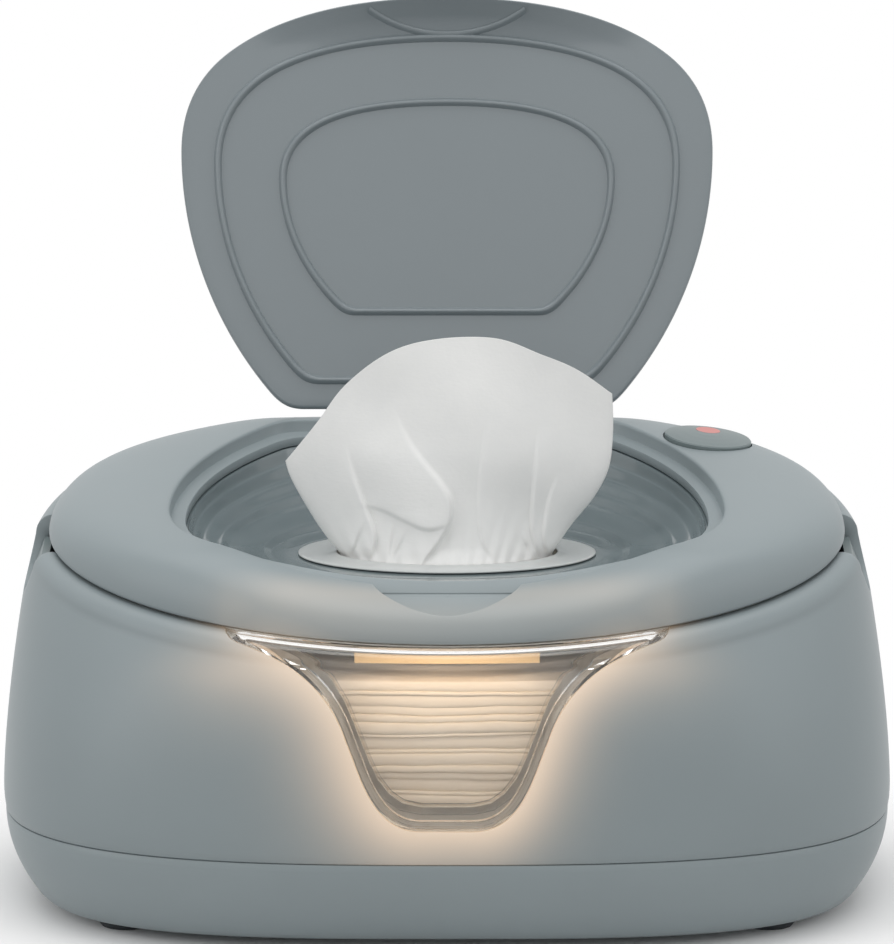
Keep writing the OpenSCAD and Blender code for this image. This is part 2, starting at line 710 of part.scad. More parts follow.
// Soft seal in the slot: it grips the dish's edge from both sides, and its lip curls up round an oval hole
hole_half = [31.5, 18.5];
module orifice_seal() {
    function oval(grow, z) = [
        for (t = angles) [(slot_half[0] + grow) * cos(t), slot_y + (slot_half[1] + grow) * sin(t), slot_z + z]
    ];
    function lip(grow, z) = [
        for (t = angles) [(hole_half[0] + grow) * cos(t), slot_y + (hole_half[1] + grow) * sin(t), slot_z + z]
    ];
    color(soft_white) skin([
        oval(1.6, -3.1), oval(1.6, -2.15), oval(-0.3, -2.15), oval(-0.3, 0.3), oval(2, 0.35), oval(2.2, 0.8),
        oval(1.4, 1.15), oval(-1.2, 1), lip(2, 1.2), lip(0.6, 2), lip(0, 1.8), lip(0.4, 0.8), lip(1.6, -0.4),
        lip(3.4, -3.1)
    ], "loop");
}

module cover_liner() {
    function edge(rise) = [
        for (p = outline)
            let (
                t = outline_angle(p),
                a = cover_half_width - 3 - 0.9 * rise,
                q = oval_point(a, a - depth_loss_high, squareness(1, t < 0 ? t + 360 : t), t)
            )
            [q[0], q[1], parting_at(q[1]) + rise]
    ];
    function hole(rise) = [
        for (p = outline)
            let (x = p[0] * (1 - 1 / outline_half), y = p[1] * (1 - 1 / outline_rear))
            [x, y, parting_at(y) + rise]
    ];
    color(plastic) difference() {
        skin([edge(liner_low), edge(liner_high), hole(liner_high), hole(liner_low)], "loop");
        translate([-22, 50, 105]) cube([44, 18.9, 20]);
        mirror_copy([1, 0, 0]) translate([104.3, -5, 90]) cube([10, 10, 20]);
        at_liner_screws() cylinder(h = 4, r = 1.2, $fn = 24);
    }
}
module cover_gasket() {
    color(soft_white) skin([
        joint_ring(104.4, parting_z - 0.35), joint_ring(104.6, parting_z + liner_low),
        joint_ring(101.9, parting_z + liner_low), joint_ring(102.2, parting_z - 0.35)
    ], "loop");
}
module liner_screws() {
    color(metal) at_liner_screws() {
        translate([0, 0, liner_low - 1]) cylinder(h = 0.9, r = 2.1, $fn = 32);
        cylinder(h = liner_screw_long, r = 0.95, $fn = 24);
    }
}

// Round power button, slightly domed, with a red lens in it, and the foot that meets the switch
lens_y = 3.4;
lens_r = 3.4;
switch_gap = -3;
module power_button() {
    dome_rise = 1.7;
    function disc(r) = [
        for (i = [0:47]) [r * cos(i * 7.5), r * sin(i * 7.5), dome_rise - 1.1 * pow(r / button_r, 2)]
    ];
    function lowered(points, z) = [for (p = points) [p[0], p[1], z]];
    color(plastic_dark) translate(button_at) rotate(button_tilt) difference() {
        union() {
            skin([
                lowered(disc(button_r - 0.4), -2.4),
                lowered(disc(button_r), -2),
                lowered(disc(button_r), 0.3),
                for (r = [button_r - 0.3, 9.5, 6.5, 3.2]) disc(r)
            ]);
            translate([0, 0, switch_gap]) cylinder(h = 2, r = 2, $fn = 32);
        }
        translate([0, lens_y, -2]) cylinder(h = 8, r = lens_r, $fn = 48);
    }
}
module button_lens() {
    color([0.9, 0.2, 0.15]) translate(button_at) rotate(button_tilt)
        translate([0, lens_y, -2]) cylinder(h = 3.65, r = lens_r, $fn = 48);
}
module button_board() {
    switch_high = 0.6;
    board_thick = 0.8;
    translate(button_at) rotate(button_tilt) translate([0, 0, switch_gap - button_travel - 0.05]) {
        color(rubber) translate([-2.6, -2.6, -switch_high]) cube([5.2, 5.2, switch_high]);
        color(board_green) translate([-6.5, -6.5, -switch_high - board_thick]) cube([12, 10, board_thick]);
    }
}
// Bar that carries the night light down behind the window
guide_half = 25;
guide_front = -61.2;
guide_rear = -56.2;
light_board_thick = 1;
module night_light_board() {
    low = liner_low - light_board_thick;
    color(board_green) translate([-guide_half, 0, 0]) rotate([90, 0, 90]) linear_extrude(2 * guide_half)
        polygon([for (p = [[0, low], [1, low], [1, liner_low], [0, liner_low]])
            let (y = lerp(guide_front, guide_rear, p[0])) [y, parting_at(y) + p[1]]]);
}
module light_guide() {
    top = liner_low - light_board_thick;
    color([1, 0.75, 0.4]) translate([-guide_half, 0, 0]) rotate([90, 0, 90]) linear_extrude(2 * guide_half)
        polygon([
            [guide_front, parting_at(guide_front) + top], [-60.6, 77.6], [-60, 76.2], [-58, 76.2],
            [-57.4, 77.6], [guide_rear, parting_at(guide_rear) + top]
        ]);
}

// The pulled wipe: it stands in a bow along the front of the hole, and its folds open towards a round top
module wipe_sheet() {
    thick = 0.9;
    across = 26;
    foot_half = 28.5;
    foot_z = 86;
    neck_z = 98;
    neck_share = 0.12;
    bow = 15.5;
    top_edge = [[-45, 119], [-24, 163], [22, 165], [46, 139]];
    // Point of the sheet's middle surface: u runs across from -1 to 1, v runs up from 0 to 1
    function sheet_point(u, v) =
        let (
            top = bezier(top_edge, (u + 1) / 2),
            neck = [foot_half * u, neck_z],
            up = (v - neck_share) / (1 - neck_share),
            p = up < 0 ? [neck[0], lerp(foot_z, neck_z, v / neck_share)] : lerp(neck, top, pow(up, 0.92)),
            open = pow(max(0, up), 0.8),
            ripple = sin(u * 400 + 30) * (1 - 0.45 * v)
                + 0.5 * sin(u * 760 + 200 * v)
                + 0.6 * sin(u * 180 - 60) * v,
            forward = bow * (1 - u * u) * pow(1 - open, 1.3)
        )
        [p[0], slot_y - forward + ripple * (0.25 + 5 * open) + 6 * open, p[1]];
    function sheet_ring(v) = concat(
        [for (i = [0:across]) sheet_point(2 * i / across - 1, v) - [0, thick / 2, 0]],
        [for (i = [across:-1:0]) sheet_point(2 * i / across - 1, v) + [0, thick / 2, 0]]
    );
    heights = [0, 0.06, neck_share, 0.16, for (i = [0:9]) 0.22 + i * 0.08, 1];
    color(soft_white) skin([for (v = heights) sheet_ring(v)], "sheet");
}

module lid_hinge_pin() {
    color(metal) translate([-20.2, lid_hinge[1], lid_hinge[2]]) rotate([0, 90, 0])
        cylinder(h = 40.4, r = lid_pin_r, $fn = 32);
}

// Flip lid, drawn shut and turned open about its hinge
lid_inset = 0.9;
module lid_shut() {
    // Ring of a rib: shares of the outline, its shift to the back and its distance from the rib's middle
    function rib_ring(share, shift, off, drop) = [
        for (p = outline)
            let (x = p[0] * (share[0] + off / outline_half), y = p[1] * (share[1] + off / 58) + shift)
            [x, y, lid_height(y) - drop]
    ];
    function rib(share, shift) = [
        for (s = [[-1.3, 0], [-0.5, 1.2], [0.5, 1.2], [1.3, 0]])
            rib_ring(share, shift, s[0], lid_thick + s[1])
    ];
    edge_shift = -0.35;
    skin(concat(
        [rib_ring([0.3, 0.25], 0, 0, lid_thick)],
        rib([0.61, 0.51], 0.2),
        rib([0.852, 0.833], 0.8),
        [
            well_ring(lid_inset + 0.5, lid_thick, edge_shift),
            well_ring(lid_inset, lid_thick - 0.5, edge_shift),
            well_ring(lid_inset, 0.5, edge_shift), well_ring(lid_inset + 0.5, 0, edge_shift),
            rib_ring([0.72, 0.72], 0, 0, 0), rib_ring([0.4, 0.4], 0, 0, 0)
        ]
    ));
    // Arc rib behind the front lip, a sweep of a small square along a circle
    arc_r = 43.5;
    arc_middle = outline_front + 9.6 - arc_r;
    arc_low = lid_thick + 0.6;
    skin([
        for (i = [-6:6])
            let (t = i * 5)
            [for (c = [[-0.6, 1.2], [0.6, 1.2], [0.6, arc_low], [-0.6, arc_low]])
                let (y = arc_middle + (arc_r + c[0]) * cos(t))
                [-(arc_r + c[0]) * sin(t), y, lid_height(y) - c[1]]]
    ]);
    // Hinge knuckle and its arm
    translate([-14, 0, 0]) rotate([90, 0, 90]) linear_extrude(28) union() {
        translate([lid_hinge[1], lid_hinge[2]]) circle(2.6, $fn = 48);
        polygon([[55, 117.2], [60.4, 115.8], [62.5, 116], [62.5, 119.9], [61.2, 119.75], [55, 119.2]]);
    }
}
module flip_lid() {
    color(plastic) translate(lid_hinge) rotate([-lid_angle, 0, 0]) translate(-lid_hinge) difference() {
        lid_shut();
        translate([-20, lid_hinge[1], lid_hinge[2]]) rotate([0, 90, 0])
            cylinder(h = 40, r = lid_pin_r + running_gap, $fn = 32);
    }
}

// Release button in the side tongue: a slanting pad, a stem under the catch and a nose over it
module release_button() {
    color(plastic) {
        intersection() {
            tongue(tongue_r - 0.45, 96.2, 100, 130);
            translate([0, 20, 0]) rotate([90, 0, 0]) linear_extrude(40)
                polygon([[111.6, 97], [116.9, 83.6], [113.8, 83.6], [109.8, 94.6], [109.8, 97]]);
        }
        translate([101.4, -3.5, 84.6]) cube([13, 7, 1.8]);
        translate([101.4, -3.5, 84.6]) cube([1.4, 7, 6.6]);
        translate([101.4, -3.5, 89.8]) cube([2.1, 7, 1.4]);
        for (y = [-8, 8]) translate([111, y, 88]) rotate([0, 90, 0]) cylinder(h = 2.2, r = 1.2, $fn = 24);
    }
}
module release_button_right() {
    release_button();
}
module release_button_left() {
    mirror([1, 0, 0]) release_button();
}
// Two small coil springs between the bin and each button
module release_springs() {
    turns = 4;
    steps = 7;
    coil_r = 2.1;
    coil_z = 88;
    color(metal) for (y = [-8, 8])
        tube([
            for (i = [0:turns * steps])
                let (t = 360 * i / steps, x = lerp(100.2, 110.2, i / (turns * steps)))
                [x, y + coil_r * cos(t), coil_z + coil_r * sin(t)]
        ], 0.3, 4);
}
module release_springs_right() {
    release_springs();
}
module release_springs_left() {
    mirror([1, 0, 0]) release_springs();
}

base_shell();
body_shell();
window();
window_seal();
wipe_bin();
heat_spreader();
heater_pad();
insulation_pad();
thermostat();
thermal_fuse();
main_circuit_board();
power_socket();
socket_leads();
heater_leads();
cover_lead_lower();
rubber_feet();
base_screws();
cover_hinge_pins();
release_springs_left();
release_springs_right();
wipe_stack();
cover_shell();
dispenser_dish();
orifice_seal();
cover_liner();
cover_gasket();
liner_screws();
button_board();
night_light_board();
light_guide();
cover_lead_upper();
lid_hinge_pin();
wipe_sheet();
flip_lid();
power_button();
button_lens();
release_button_left();
release_button_right();
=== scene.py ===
import json
from math import atan2, cos, exp, pi, radians, sin, sqrt

import bmesh
import bpy
import numpy as np
from mathutils import Matrix, Vector
from mathutils.noise import noise


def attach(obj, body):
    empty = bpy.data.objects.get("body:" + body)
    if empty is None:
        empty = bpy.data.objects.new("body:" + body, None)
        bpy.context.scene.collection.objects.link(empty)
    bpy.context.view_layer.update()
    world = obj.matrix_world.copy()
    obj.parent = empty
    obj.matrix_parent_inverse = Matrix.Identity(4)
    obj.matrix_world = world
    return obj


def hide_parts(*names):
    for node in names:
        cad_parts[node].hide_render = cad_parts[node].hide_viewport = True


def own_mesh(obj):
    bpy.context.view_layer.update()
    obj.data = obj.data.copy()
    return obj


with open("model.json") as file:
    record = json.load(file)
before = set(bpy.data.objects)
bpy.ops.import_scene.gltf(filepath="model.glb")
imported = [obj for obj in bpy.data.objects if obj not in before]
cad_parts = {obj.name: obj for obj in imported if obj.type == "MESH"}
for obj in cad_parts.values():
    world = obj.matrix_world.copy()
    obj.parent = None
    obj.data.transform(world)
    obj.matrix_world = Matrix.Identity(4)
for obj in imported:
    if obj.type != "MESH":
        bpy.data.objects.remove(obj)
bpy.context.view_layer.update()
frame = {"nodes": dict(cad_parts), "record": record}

nodes = frame["nodes"]
mm = 0.001
print("stage: frame loaded,", len(nodes), "nodes")


# ---- small helpers ----

def lerp(a, b, k):
    return a + (b - a) * k


def clamp(v, low=0.0, high=1.0):
    return max(low, min(high, v))


def smooth(v):
    v = clamp(v)
    return v * v * (3 - 2 * v)


def bezier(p, k):
    j = 1 - k
    w = (j ** 3, 3 * k * j * j, 3 * k * k * j, k ** 3)
    return tuple(sum(w[i] * p[i][c] for i in range(4)) for c in range(len(p[0])))


def throughPoints(points, k):  # smooth curve through a few points, k from 0 to 1
    last = len(points) - 1
    at = clamp(k) * last
    i = min(int(at), last - 1)
    f = at - i
    p0, p1, p2, p3 = (points[clamp(j, 0, last)] for j in (i - 1, i, i + 1, i + 2))
    return tuple(
        0.5 * (2 * b + (c - a) * f + (2 * a - 5 * b + 4 * c - d) * f * f + (3 * b - a - 3 * c + d) * f ** 3)
        for a, b, c, d in zip(p0, p1, p2, p3)
    )


def addMesh(name, points, faces):  # points in millimetres
    mesh = bpy.data.meshes.new(name)
    mesh.from_pydata([tuple(c * mm for c in p) for p in points], [], faces)
    mesh.validate()
    piece = bpy.data.objects.new(name, mesh)
    bpy.context.scene.collection.objects.link(piece)
    return piece


def gridFaces(rows, columns, closed):
    faces = []
    for i in range(rows - 1):
        for j in range(columns if closed else columns - 1):
            k = (j + 1) % columns
            faces.append((i * columns + j, i * columns + k, (i + 1) * columns + k, (i + 1) * columns + j))
    return faces


def skinMesh(name, rings, loop=False):  # closed solid over rings that climb the outside
    columns = len(rings[0])
    points = [p for ring in rings for p in ring]
    faces = gridFaces(len(rings), columns, True)
    last = (len(rings) - 1) * columns
    if loop:
        faces += [(last + j, last + (j + 1) % columns, (j + 1) % columns, j) for j in range(columns)]
    else:
        faces.append(tuple(reversed(range(columns))))
        faces.append(tuple(last + j for j in range(columns)))
    return addMesh(name, points, faces)


def prismMesh(name, outline, low, high, place):  # outline pushed from low to high, set by place(a, b, along)
    count = len(outline)
    points = [place(a, b, along) for along in (low, high) for a, b in outline]
    faces = [tuple(reversed(range(count))), tuple(range(count, 2 * count))]
    faces += [(j, (j + 1) % count, count + (j + 1) % count, count + j) for j in range(count)]
    piece = addMesh(name, points, faces)
    bm = bmesh.new()
    bm.from_mesh(piece.data)
    bmesh.ops.recalc_face_normals(bm, faces=bm.faces)
    bm.to_mesh(piece.data)
    bm.free()
    return piece


def circlePoints(x, y, r, count=96):
    return [(x + r * cos(2 * pi * i / count), y + r * sin(2 * pi * i / count)) for i in range(count)]


def applyModifiers(piece):
    bpy.context.view_layer.update()
    graph = bpy.context.evaluated_depsgraph_get()
    mesh = bpy.data.meshes.new_from_object(piece.evaluated_get(graph))
    piece.modifiers.clear()
    piece.data = mesh
    return piece


def combine(piece, operation, *others):  # UNION, DIFFERENCE or INTERSECT, and the others go
    for other in others:
        step = piece.modifiers.new("combine", "BOOLEAN")
        step.operation = operation
        step.object = other
        step.solver = "MANIFOLD"
        applyModifiers(piece)
        bpy.data.objects.remove(other)
    return piece


def joinPieces(piece, *others):  # one object of several closed shells
    bm = bmesh.new()
    bm.from_mesh(piece.data)
    for other in others:
        bm.from_mesh(other.data)
        bpy.data.objects.remove(other)
    bm.to_mesh(piece.data)
    bm.free()
    return piece


def softenEdges(piece, width, segments=2, degrees=50):
    step = piece.modifiers.new("soften", "BEVEL")
    step.width = width * mm
    step.segments = segments
    step.limit_method = "ANGLE"
    step.angle_limit = radians(degrees)
    step.use_clamp_overlap = True
    return applyModifiers(piece)


def copyPiece(piece, name):
    twin = bpy.data.objects.new(name, piece.data.copy())
    bpy.context.scene.collection.objects.link(twin)
    return twin


def smoothShade(piece, degrees=35):
    piece.data.shade_smooth()
    if degrees:
        piece.data.set_sharp_from_angle(angle=radians(degrees))


def finishPiece(piece, body, material, slotName, *stoodFor):
    piece.data.materials.clear()
    piece.data.materials.append(material)
    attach(piece, body)
    if stoodFor:
        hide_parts(*stoodFor)
    return piece


# ---- camera ----

camera = dict(elevation=12, distance=2.4, target=(0, 0, 0.1172), lens=330.8, sensor=36)
cameraData = bpy.data.cameras.new("mainCamera")
cameraData.sensor_fit = "VERTICAL"
cameraData.sensor_height = camera["sensor"]
cameraData.lens = camera["lens"]
cameraData.clip_end = 20
mainCamera = bpy.data.objects.new("mainCamera", cameraData)
bpy.context.scene.collection.objects.link(mainCamera)
tilt = radians(camera["elevation"])
mainCamera.location = (0, -camera["distance"] * cos(tilt), camera["target"][2] + camera["distance"] * sin(tilt))
mainCamera.rotation_euler = (radians(90 - camera["elevation"]), 0, 0)
bpy.context.scene.camera = mainCamera
print("stage: camera")


# ---- shared effects ----

def newGroup(name, inputs, outputs):
    group = bpy.data.node_groups.new(name, "ShaderNodeTree")
    for label, kind, value in inputs:
        socket = group.interface.new_socket(label, in_out="INPUT", socket_type=kind)
        socket.default_value = value
    for label, kind in outputs:
        group.interface.new_socket(label, in_out="OUTPUT", socket_type=kind)
    return group, group.nodes.new("NodeGroupInput"), group.nodes.new("NodeGroupOutput")


def mathNode(tree, operation, a, b=None, c=None, clampIt=False):
    node = tree.nodes.new("ShaderNodeMath")
    node.operation = operation
    node.use_clamp = clampIt
    for i, v in enumerate((a, b, c)):
        if v is None:
            continue
        if isinstance(v, (int, float)):
            node.inputs[i].default_value = v
        else:
            tree.links.new(v, node.inputs[i])
    return node.outputs[0]


def noiseNode(tree, vector, scale, detail=2, rough=0.5):
    node = tree.nodes.new("ShaderNodeTexNoise")
    node.inputs["Detail"].default_value = detail
    node.inputs["Roughness"].default_value = rough
    if isinstance(scale, (int, float)):
        node.inputs["Scale"].default_value = scale
    else:
        tree.links.new(scale, node.inputs["Scale"])
    tree.links.new(vector, node.inputs["Vector"])
    return node.outputs["Fac"]


def buildMouldedGrain():  # fine texture of moulded plastic, and a broad slow mottle
    tree, given, out = newGroup(
        "mouldedGrain",
        [("Grain Scale", "NodeSocketFloat", 1400), ("Grain", "NodeSocketFloat", 1), ("Mottle Scale", "NodeSocketFloat", 18)],
        [("Height", "NodeSocketFloat"), ("Mottle", "NodeSocketFloat")],
    )
    place = tree.nodes.new("ShaderNodeTexCoord").outputs["Object"]
    fine = noiseNode(tree, place, given.outputs["Grain Scale"], 2, 0.6)
    waves = noiseNode(tree, place, 55, 1, 0.4)
    height = mathNode(tree, "MULTIPLY_ADD", fine, given.outputs["Grain"], mathNode(tree, "MULTIPLY", waves, 0.6))
    tree.links.new(height, out.inputs["Height"])
    tree.links.new(noiseNode(tree, place, given.outputs["Mottle Scale"], 4, 0.55), out.inputs["Mottle"])
    return tree


def buildEdgeWear():  # mask along the convex edges, broken up by noise
    tree, given, out = newGroup(
        "edgeWear",
        [("Radius", "NodeSocketFloat", 0.0008), ("Break Up", "NodeSocketFloat", 240)],
        [("Mask", "NodeSocketFloat")],
    )
    bevel = tree.nodes.new("ShaderNodeBevel")
    bevel.samples = 4
    tree.links.new(given.outputs["Radius"], bevel.inputs["Radius"])
    geometry = tree.nodes.new("ShaderNodeNewGeometry")
    dot = tree.nodes.new("ShaderNodeVectorMath")
    dot.operation = "DOT_PRODUCT"
    tree.links.new(bevel.outputs["Normal"], dot.inputs[0])
    tree.links.new(geometry.outputs["Normal"], dot.inputs[1])
    place = tree.nodes.new("ShaderNodeTexCoord").outputs["Object"]
    speckle = noiseNode(tree, place, given.outputs["Break Up"], 3, 0.6)
    edge = mathNode(tree, "MULTIPLY", mathNode(tree, "SUBTRACT", 1, dot.outputs["Value"]), 5, clampIt=True)
    tree.links.new(mathNode(tree, "MULTIPLY", edge, speckle, clampIt=True), out.inputs["Mask"])
    return tree


def buildDustFilm():  # thin dust that settles on faces looking up
    tree, given, out = newGroup(
        "dustFilm",
        [("Scale", "NodeSocketFloat", 90), ("Cover", "NodeSocketFloat", 0.5)],
        [("Mask", "NodeSocketFloat")],
    )
    geometry = tree.nodes.new("ShaderNodeNewGeometry")
    parts = tree.nodes.new("ShaderNodeSeparateXYZ")
    tree.links.new(geometry.outputs["Normal"], parts.inputs[0])
    place = tree.nodes.new("ShaderNodeTexCoord").outputs["Object"]
    specks = noiseNode(tree, place, given.outputs["Scale"], 5, 0.65)
    up = mathNode(tree, "MULTIPLY", parts.outputs["Z"], given.outputs["Cover"], clampIt=True)
    tree.links.new(mathNode(tree, "MULTIPLY", up, specks, clampIt=True), out.inputs["Mask"])
    return tree


def buildFibreWeb():  # nonwoven cloth: fine fibres lying mostly across, with small pits in rows
    tree, given, out = newGroup(
        "fibreWeb",
        [("Scale", "NodeSocketFloat", 1), ("Pits", "NodeSocketFloat", 0.5)],
        [("Height", "NodeSocketFloat"), ("Shade", "NodeSocketFloat")],
    )
    place = tree.nodes.new("ShaderNodeTexCoord").outputs["Object"]
    spread = tree.nodes.new("ShaderNodeMapping")
    spread.inputs["Scale"].default_value = (350, 500, 1500)
    scaled = tree.nodes.new("ShaderNodeVectorMath")
    scaled.operation = "SCALE"
    tree.links.new(place, scaled.inputs[0])
    tree.links.new(given.outputs["Scale"], scaled.inputs["Scale"])
    tree.links.new(scaled.outputs[0], spread.inputs["Vector"])
    fibres = noiseNode(tree, spread.outputs[0], 1, 3, 0.7)
    pits = tree.nodes.new("ShaderNodeTexVoronoi")
    pits.inputs["Scale"].default_value = 900
    tree.links.new(scaled.outputs[0], pits.inputs["Vector"])
    height = mathNode(tree, "MULTIPLY_ADD", pits.outputs["Distance"], given.outputs["Pits"], fibres)
    tree.links.new(height, out.inputs["Height"])
    tree.links.new(noiseNode(tree, place, 60, 3, 0.6), out.inputs["Shade"])
    return tree


groups = dict(
    grain=buildMouldedGrain(), wear=buildEdgeWear(), dust=buildDustFilm(), fibre=buildFibreWeb(),
)
print("stage: shared effects", sorted(groups))


# ---- materials ----

def useGroup(tree, key, **values):
    node = tree.nodes.new("ShaderNodeGroup")
    node.node_tree = groups[key]
    for label, value in values.items():
        node.inputs[label.replace("_", " ")].default_value = value
    return node


def mixColour(tree, mask, a, b):
    node = tree.nodes.new("ShaderNodeMix")
    node.data_type = "RGBA"
    for value, socket in ((a, node.inputs[6]), (b, node.inputs[7])):
        if isinstance(value, tuple):
            socket.default_value = (*value, 1)
        else:
            tree.links.new(value, socket)
    tree.links.new(mask, node.inputs[0])
    return node.outputs[2]


def rangeNode(tree, value, low, high):
    node = tree.nodes.new("ShaderNodeMapRange")
    node.inputs["To Min"].default_value = low
    node.inputs["To Max"].default_value = high
    tree.links.new(value, node.inputs["Value"])
    return node.outputs[0]


def srgb(r, g, b):  # screen values 0 to 255 to linear
    return tuple(((c / 255 + 0.055) / 1.055) ** 2.4 if c > 10 else c / 255 / 12.92 for c in (r, g, b))


def mouldedMaterial(name, values):
    material = bpy.data.materials.new(name)
    material.use_nodes = True
    tree = material.node_tree
    shader = tree.nodes["Principled BSDF"]
    grain = useGroup(tree, "grain", Grain_Scale=values.get("grainScale", 1400), Grain=values.get("grain", 1))
    wear = useGroup(tree, "wear")
    dust = useGroup(tree, "dust", Cover=values.get("dust", 0.3))
    base = values["colour"]
    shade = mixColour(
        tree, grain.outputs["Mottle"], tuple(c * 0.93 for c in base), tuple(min(1, c * 1.07) for c in base)
    )
    worn = mixColour(
        tree, mathNode(tree, "MULTIPLY", wear.outputs["Mask"], values.get("wear", 0.35)), shade,
        tuple(min(1, c * 1.3 + 0.03) for c in base),
    )
    dusted = mixColour(
        tree, mathNode(tree, "MULTIPLY", dust.outputs["Mask"], 0.12), worn, tuple(lerp(c, 0.7, 0.6) for c in base)
    )
    tree.links.new(dusted, shader.inputs["Base Color"])
    rough = values["rough"]
    roughNode = rangeNode(tree, grain.outputs["Mottle"], rough * 0.85, min(1, rough * 1.15))
    tree.links.new(roughNode, shader.inputs["Roughness"])
    bump = tree.nodes.new("ShaderNodeBump")
    bump.inputs["Strength"].default_value = values.get("bump", 0.2)
    bump.inputs["Distance"].default_value = values.get("depth", 0.00008)
    tree.links.new(grain.outputs["Height"], bump.inputs["Height"])
    tree.links.new(bump.outputs["Normal"], shader.inputs["Normal"])
    shader.inputs["Specular IOR Level"].default_value = values.get("specular", 0.5)
    shader.inputs["Metallic"].default_value = values.get("metal", 0)
    if "coat" in values:
        shader.inputs["Coat Weight"].default_value = values["coat"]
        shader.inputs["Coat Roughness"].default_value = values.get("coatRough", 0.05)
    if "glow" in values:
        shader.inputs["Emission Color"].default_value = (*values["glow"], 1)
        shader.inputs["Emission Strength"].default_value = values["glowStrength"]
    return material


finishes = dict(
    housing=dict(colour=srgb(137, 147, 150), rough=0.42, bump=0.16, specular=0.45),
    seal=dict(colour=srgb(226, 224, 218), rough=0.55),
    bin=dict(colour=srgb(232, 230, 224), rough=0.4),
    aluminium=dict(colour=(0.8, 0.8, 0.82), rough=0.35, metal=1, grainScale=900),
    heater=dict(colour=(0.45, 0.15, 0.07), rough=0.55),
    insulation=dict(colour=(0.68, 0.66, 0.58), rough=0.95, bump=0.6, depth=0.0005, grainScale=500),
    steel=dict(colour=(0.6, 0.6, 0.62), rough=0.3, metal=1),
    board=dict(colour=(0.03, 0.17, 0.08), rough=0.35, coat=0.4),
    lead=dict(colour=(0.035, 0.035, 0.04), rough=0.5),
    feet=dict(colour=srgb(52, 56, 59), rough=0.8, bump=0.35),
    dish=dict(colour=srgb(104, 116, 119), rough=0.17, bump=0.02, wear=0.08, specular=0.55, coat=0.5, coatRough=0.04),
    button=dict(colour=srgb(112, 124, 125), rough=0.45, bump=0.16),
    lens=dict(colour=(0.3, 0.1, 0.09), rough=0.3, glow=(1, 0.14, 0.1), glowStrength=0.22),
    light_guide=dict(colour=(0.95, 0.7, 0.4), rough=0.5, glow=(1, 0.58, 0.26), glowStrength=0.14),
)
materials = {key: mouldedMaterial("finish." + key, values) for key, values in finishes.items()}


def wipeMaterial(name, colour, shade):
    look = dict(colour=colour, shade=shade, bump=0.3, depth=0.00012, rough=0.85)
    material = bpy.data.materials.new(name)
    material.use_nodes = True
    tree = material.node_tree
    shader = tree.nodes["Principled BSDF"]
    fibre = useGroup(tree, "fibre", Pits=0.5)
    tone = mixColour(tree, fibre.outputs["Shade"], look["shade"], look["colour"])
    tree.links.new(tone, shader.inputs["Base Color"])
    tree.links.new(rangeNode(tree, fibre.outputs["Shade"], look["rough"] - 0.08, look["rough"] + 0.05), shader.inputs["Roughness"])
    bump = tree.nodes.new("ShaderNodeBump")
    bump.inputs["Strength"].default_value = look["bump"]
    bump.inputs["Distance"].default_value = look["depth"]
    tree.links.new(fibre.outputs["Height"], bump.inputs["Height"])
    tree.links.new(bump.outputs["Normal"], shader.inputs["Normal"])
    shader.inputs["Subsurface Weight"].default_value = 0.08
    shader.inputs["Subsurface Radius"].default_value = (0.002, 0.002, 0.002)
    shader.inputs["Specular IOR Level"].default_value = 0.3
    return material


def windowMaterial():
    look = dict(colour=(0.96, 0.95, 0.93), rough=0.04, ior=1.45)
    material = bpy.data.materials.new("finish.window")
    material.use_nodes = True
    tree = material.node_tree
    shader = tree.nodes["Principled BSDF"]
    grain = useGroup(tree, "grain", Grain_Scale=300, Grain=0.4, Mottle_Scale=40)
    tree.links.new(
        mixColour(tree, grain.outputs["Mottle"], tuple(c * 0.97 for c in look["colour"]), look["colour"]),
        shader.inputs["Base Color"],
    )
    tree.links.new(rangeNode(tree, grain.outputs["Mottle"], 0.02, look["rough"] + 0.03), shader.inputs["Roughness"])
    shader.inputs["Transmission Weight"].default_value = 1
    shader.inputs["IOR"].default_value = look["ior"]
    bump = tree.nodes.new("ShaderNodeBump")
    bump.inputs["Strength"].default_value = 0.05
    bump.inputs["Distance"].default_value = 0.0001
    tree.links.new(grain.outputs["Height"], bump.inputs["Height"])
    tree.links.new(bump.outputs["Normal"], shader.inputs["Normal"])
    return material


def addNightGlow(material, strength):  # warm light on the wall round the window, by the painted share
    tree = material.node_tree
    shader = tree.nodes["Principled BSDF"]
    share = tree.nodes.new("ShaderNodeAttribute")
    share.attribute_name = "nightGlow"
    tree.links.new(mixColour(tree, share.outputs["Fac"], (0, 0, 0), (1, 0.68, 0.42)), shader.inputs["Emission Color"])
    shader.inputs["Emission Strength"].default_value = strength
    return material


materials["housingLit"] = addNightGlow(mouldedMaterial("finish.housingLit", finishes["housing"]), 0.56)
# the lid is the housing's plastic; its darker grey is painted shade on the open lid's underside
materials["lidShell"] = mouldedMaterial("finish.lidPaintedShade", dict(colour=srgb(118, 127, 131), rough=0.34, bump=0.06, coat=0.25, coatRough=0.2))
materials["softLip"] = mouldedMaterial("finish.softLip", dict(colour=srgb(190, 193, 192), rough=0.3, bump=0.05, coat=0.3))


def addGuideGlow(material):  # the lamp sits behind the middle of the light guide
    tree = material.node_tree
    shader = tree.nodes["Principled BSDF"]
    parts = tree.nodes.new("ShaderNodeSeparateXYZ")
    tree.links.new(tree.nodes.new("ShaderNodeTexCoord").outputs["Object"], parts.inputs[0])
    away = mathNode(tree, "MULTIPLY", mathNode(tree, "ABSOLUTE", parts.outputs["X"]), 1 / 0.024, clampIt=True)
    tree.links.new(
        mixColour(tree, mathNode(tree, "POWER", away, 0.7), (1, 0.62, 0.3), (0.03, 0.012, 0.005)), shader.inputs["Emission Color"]
    )
    return material


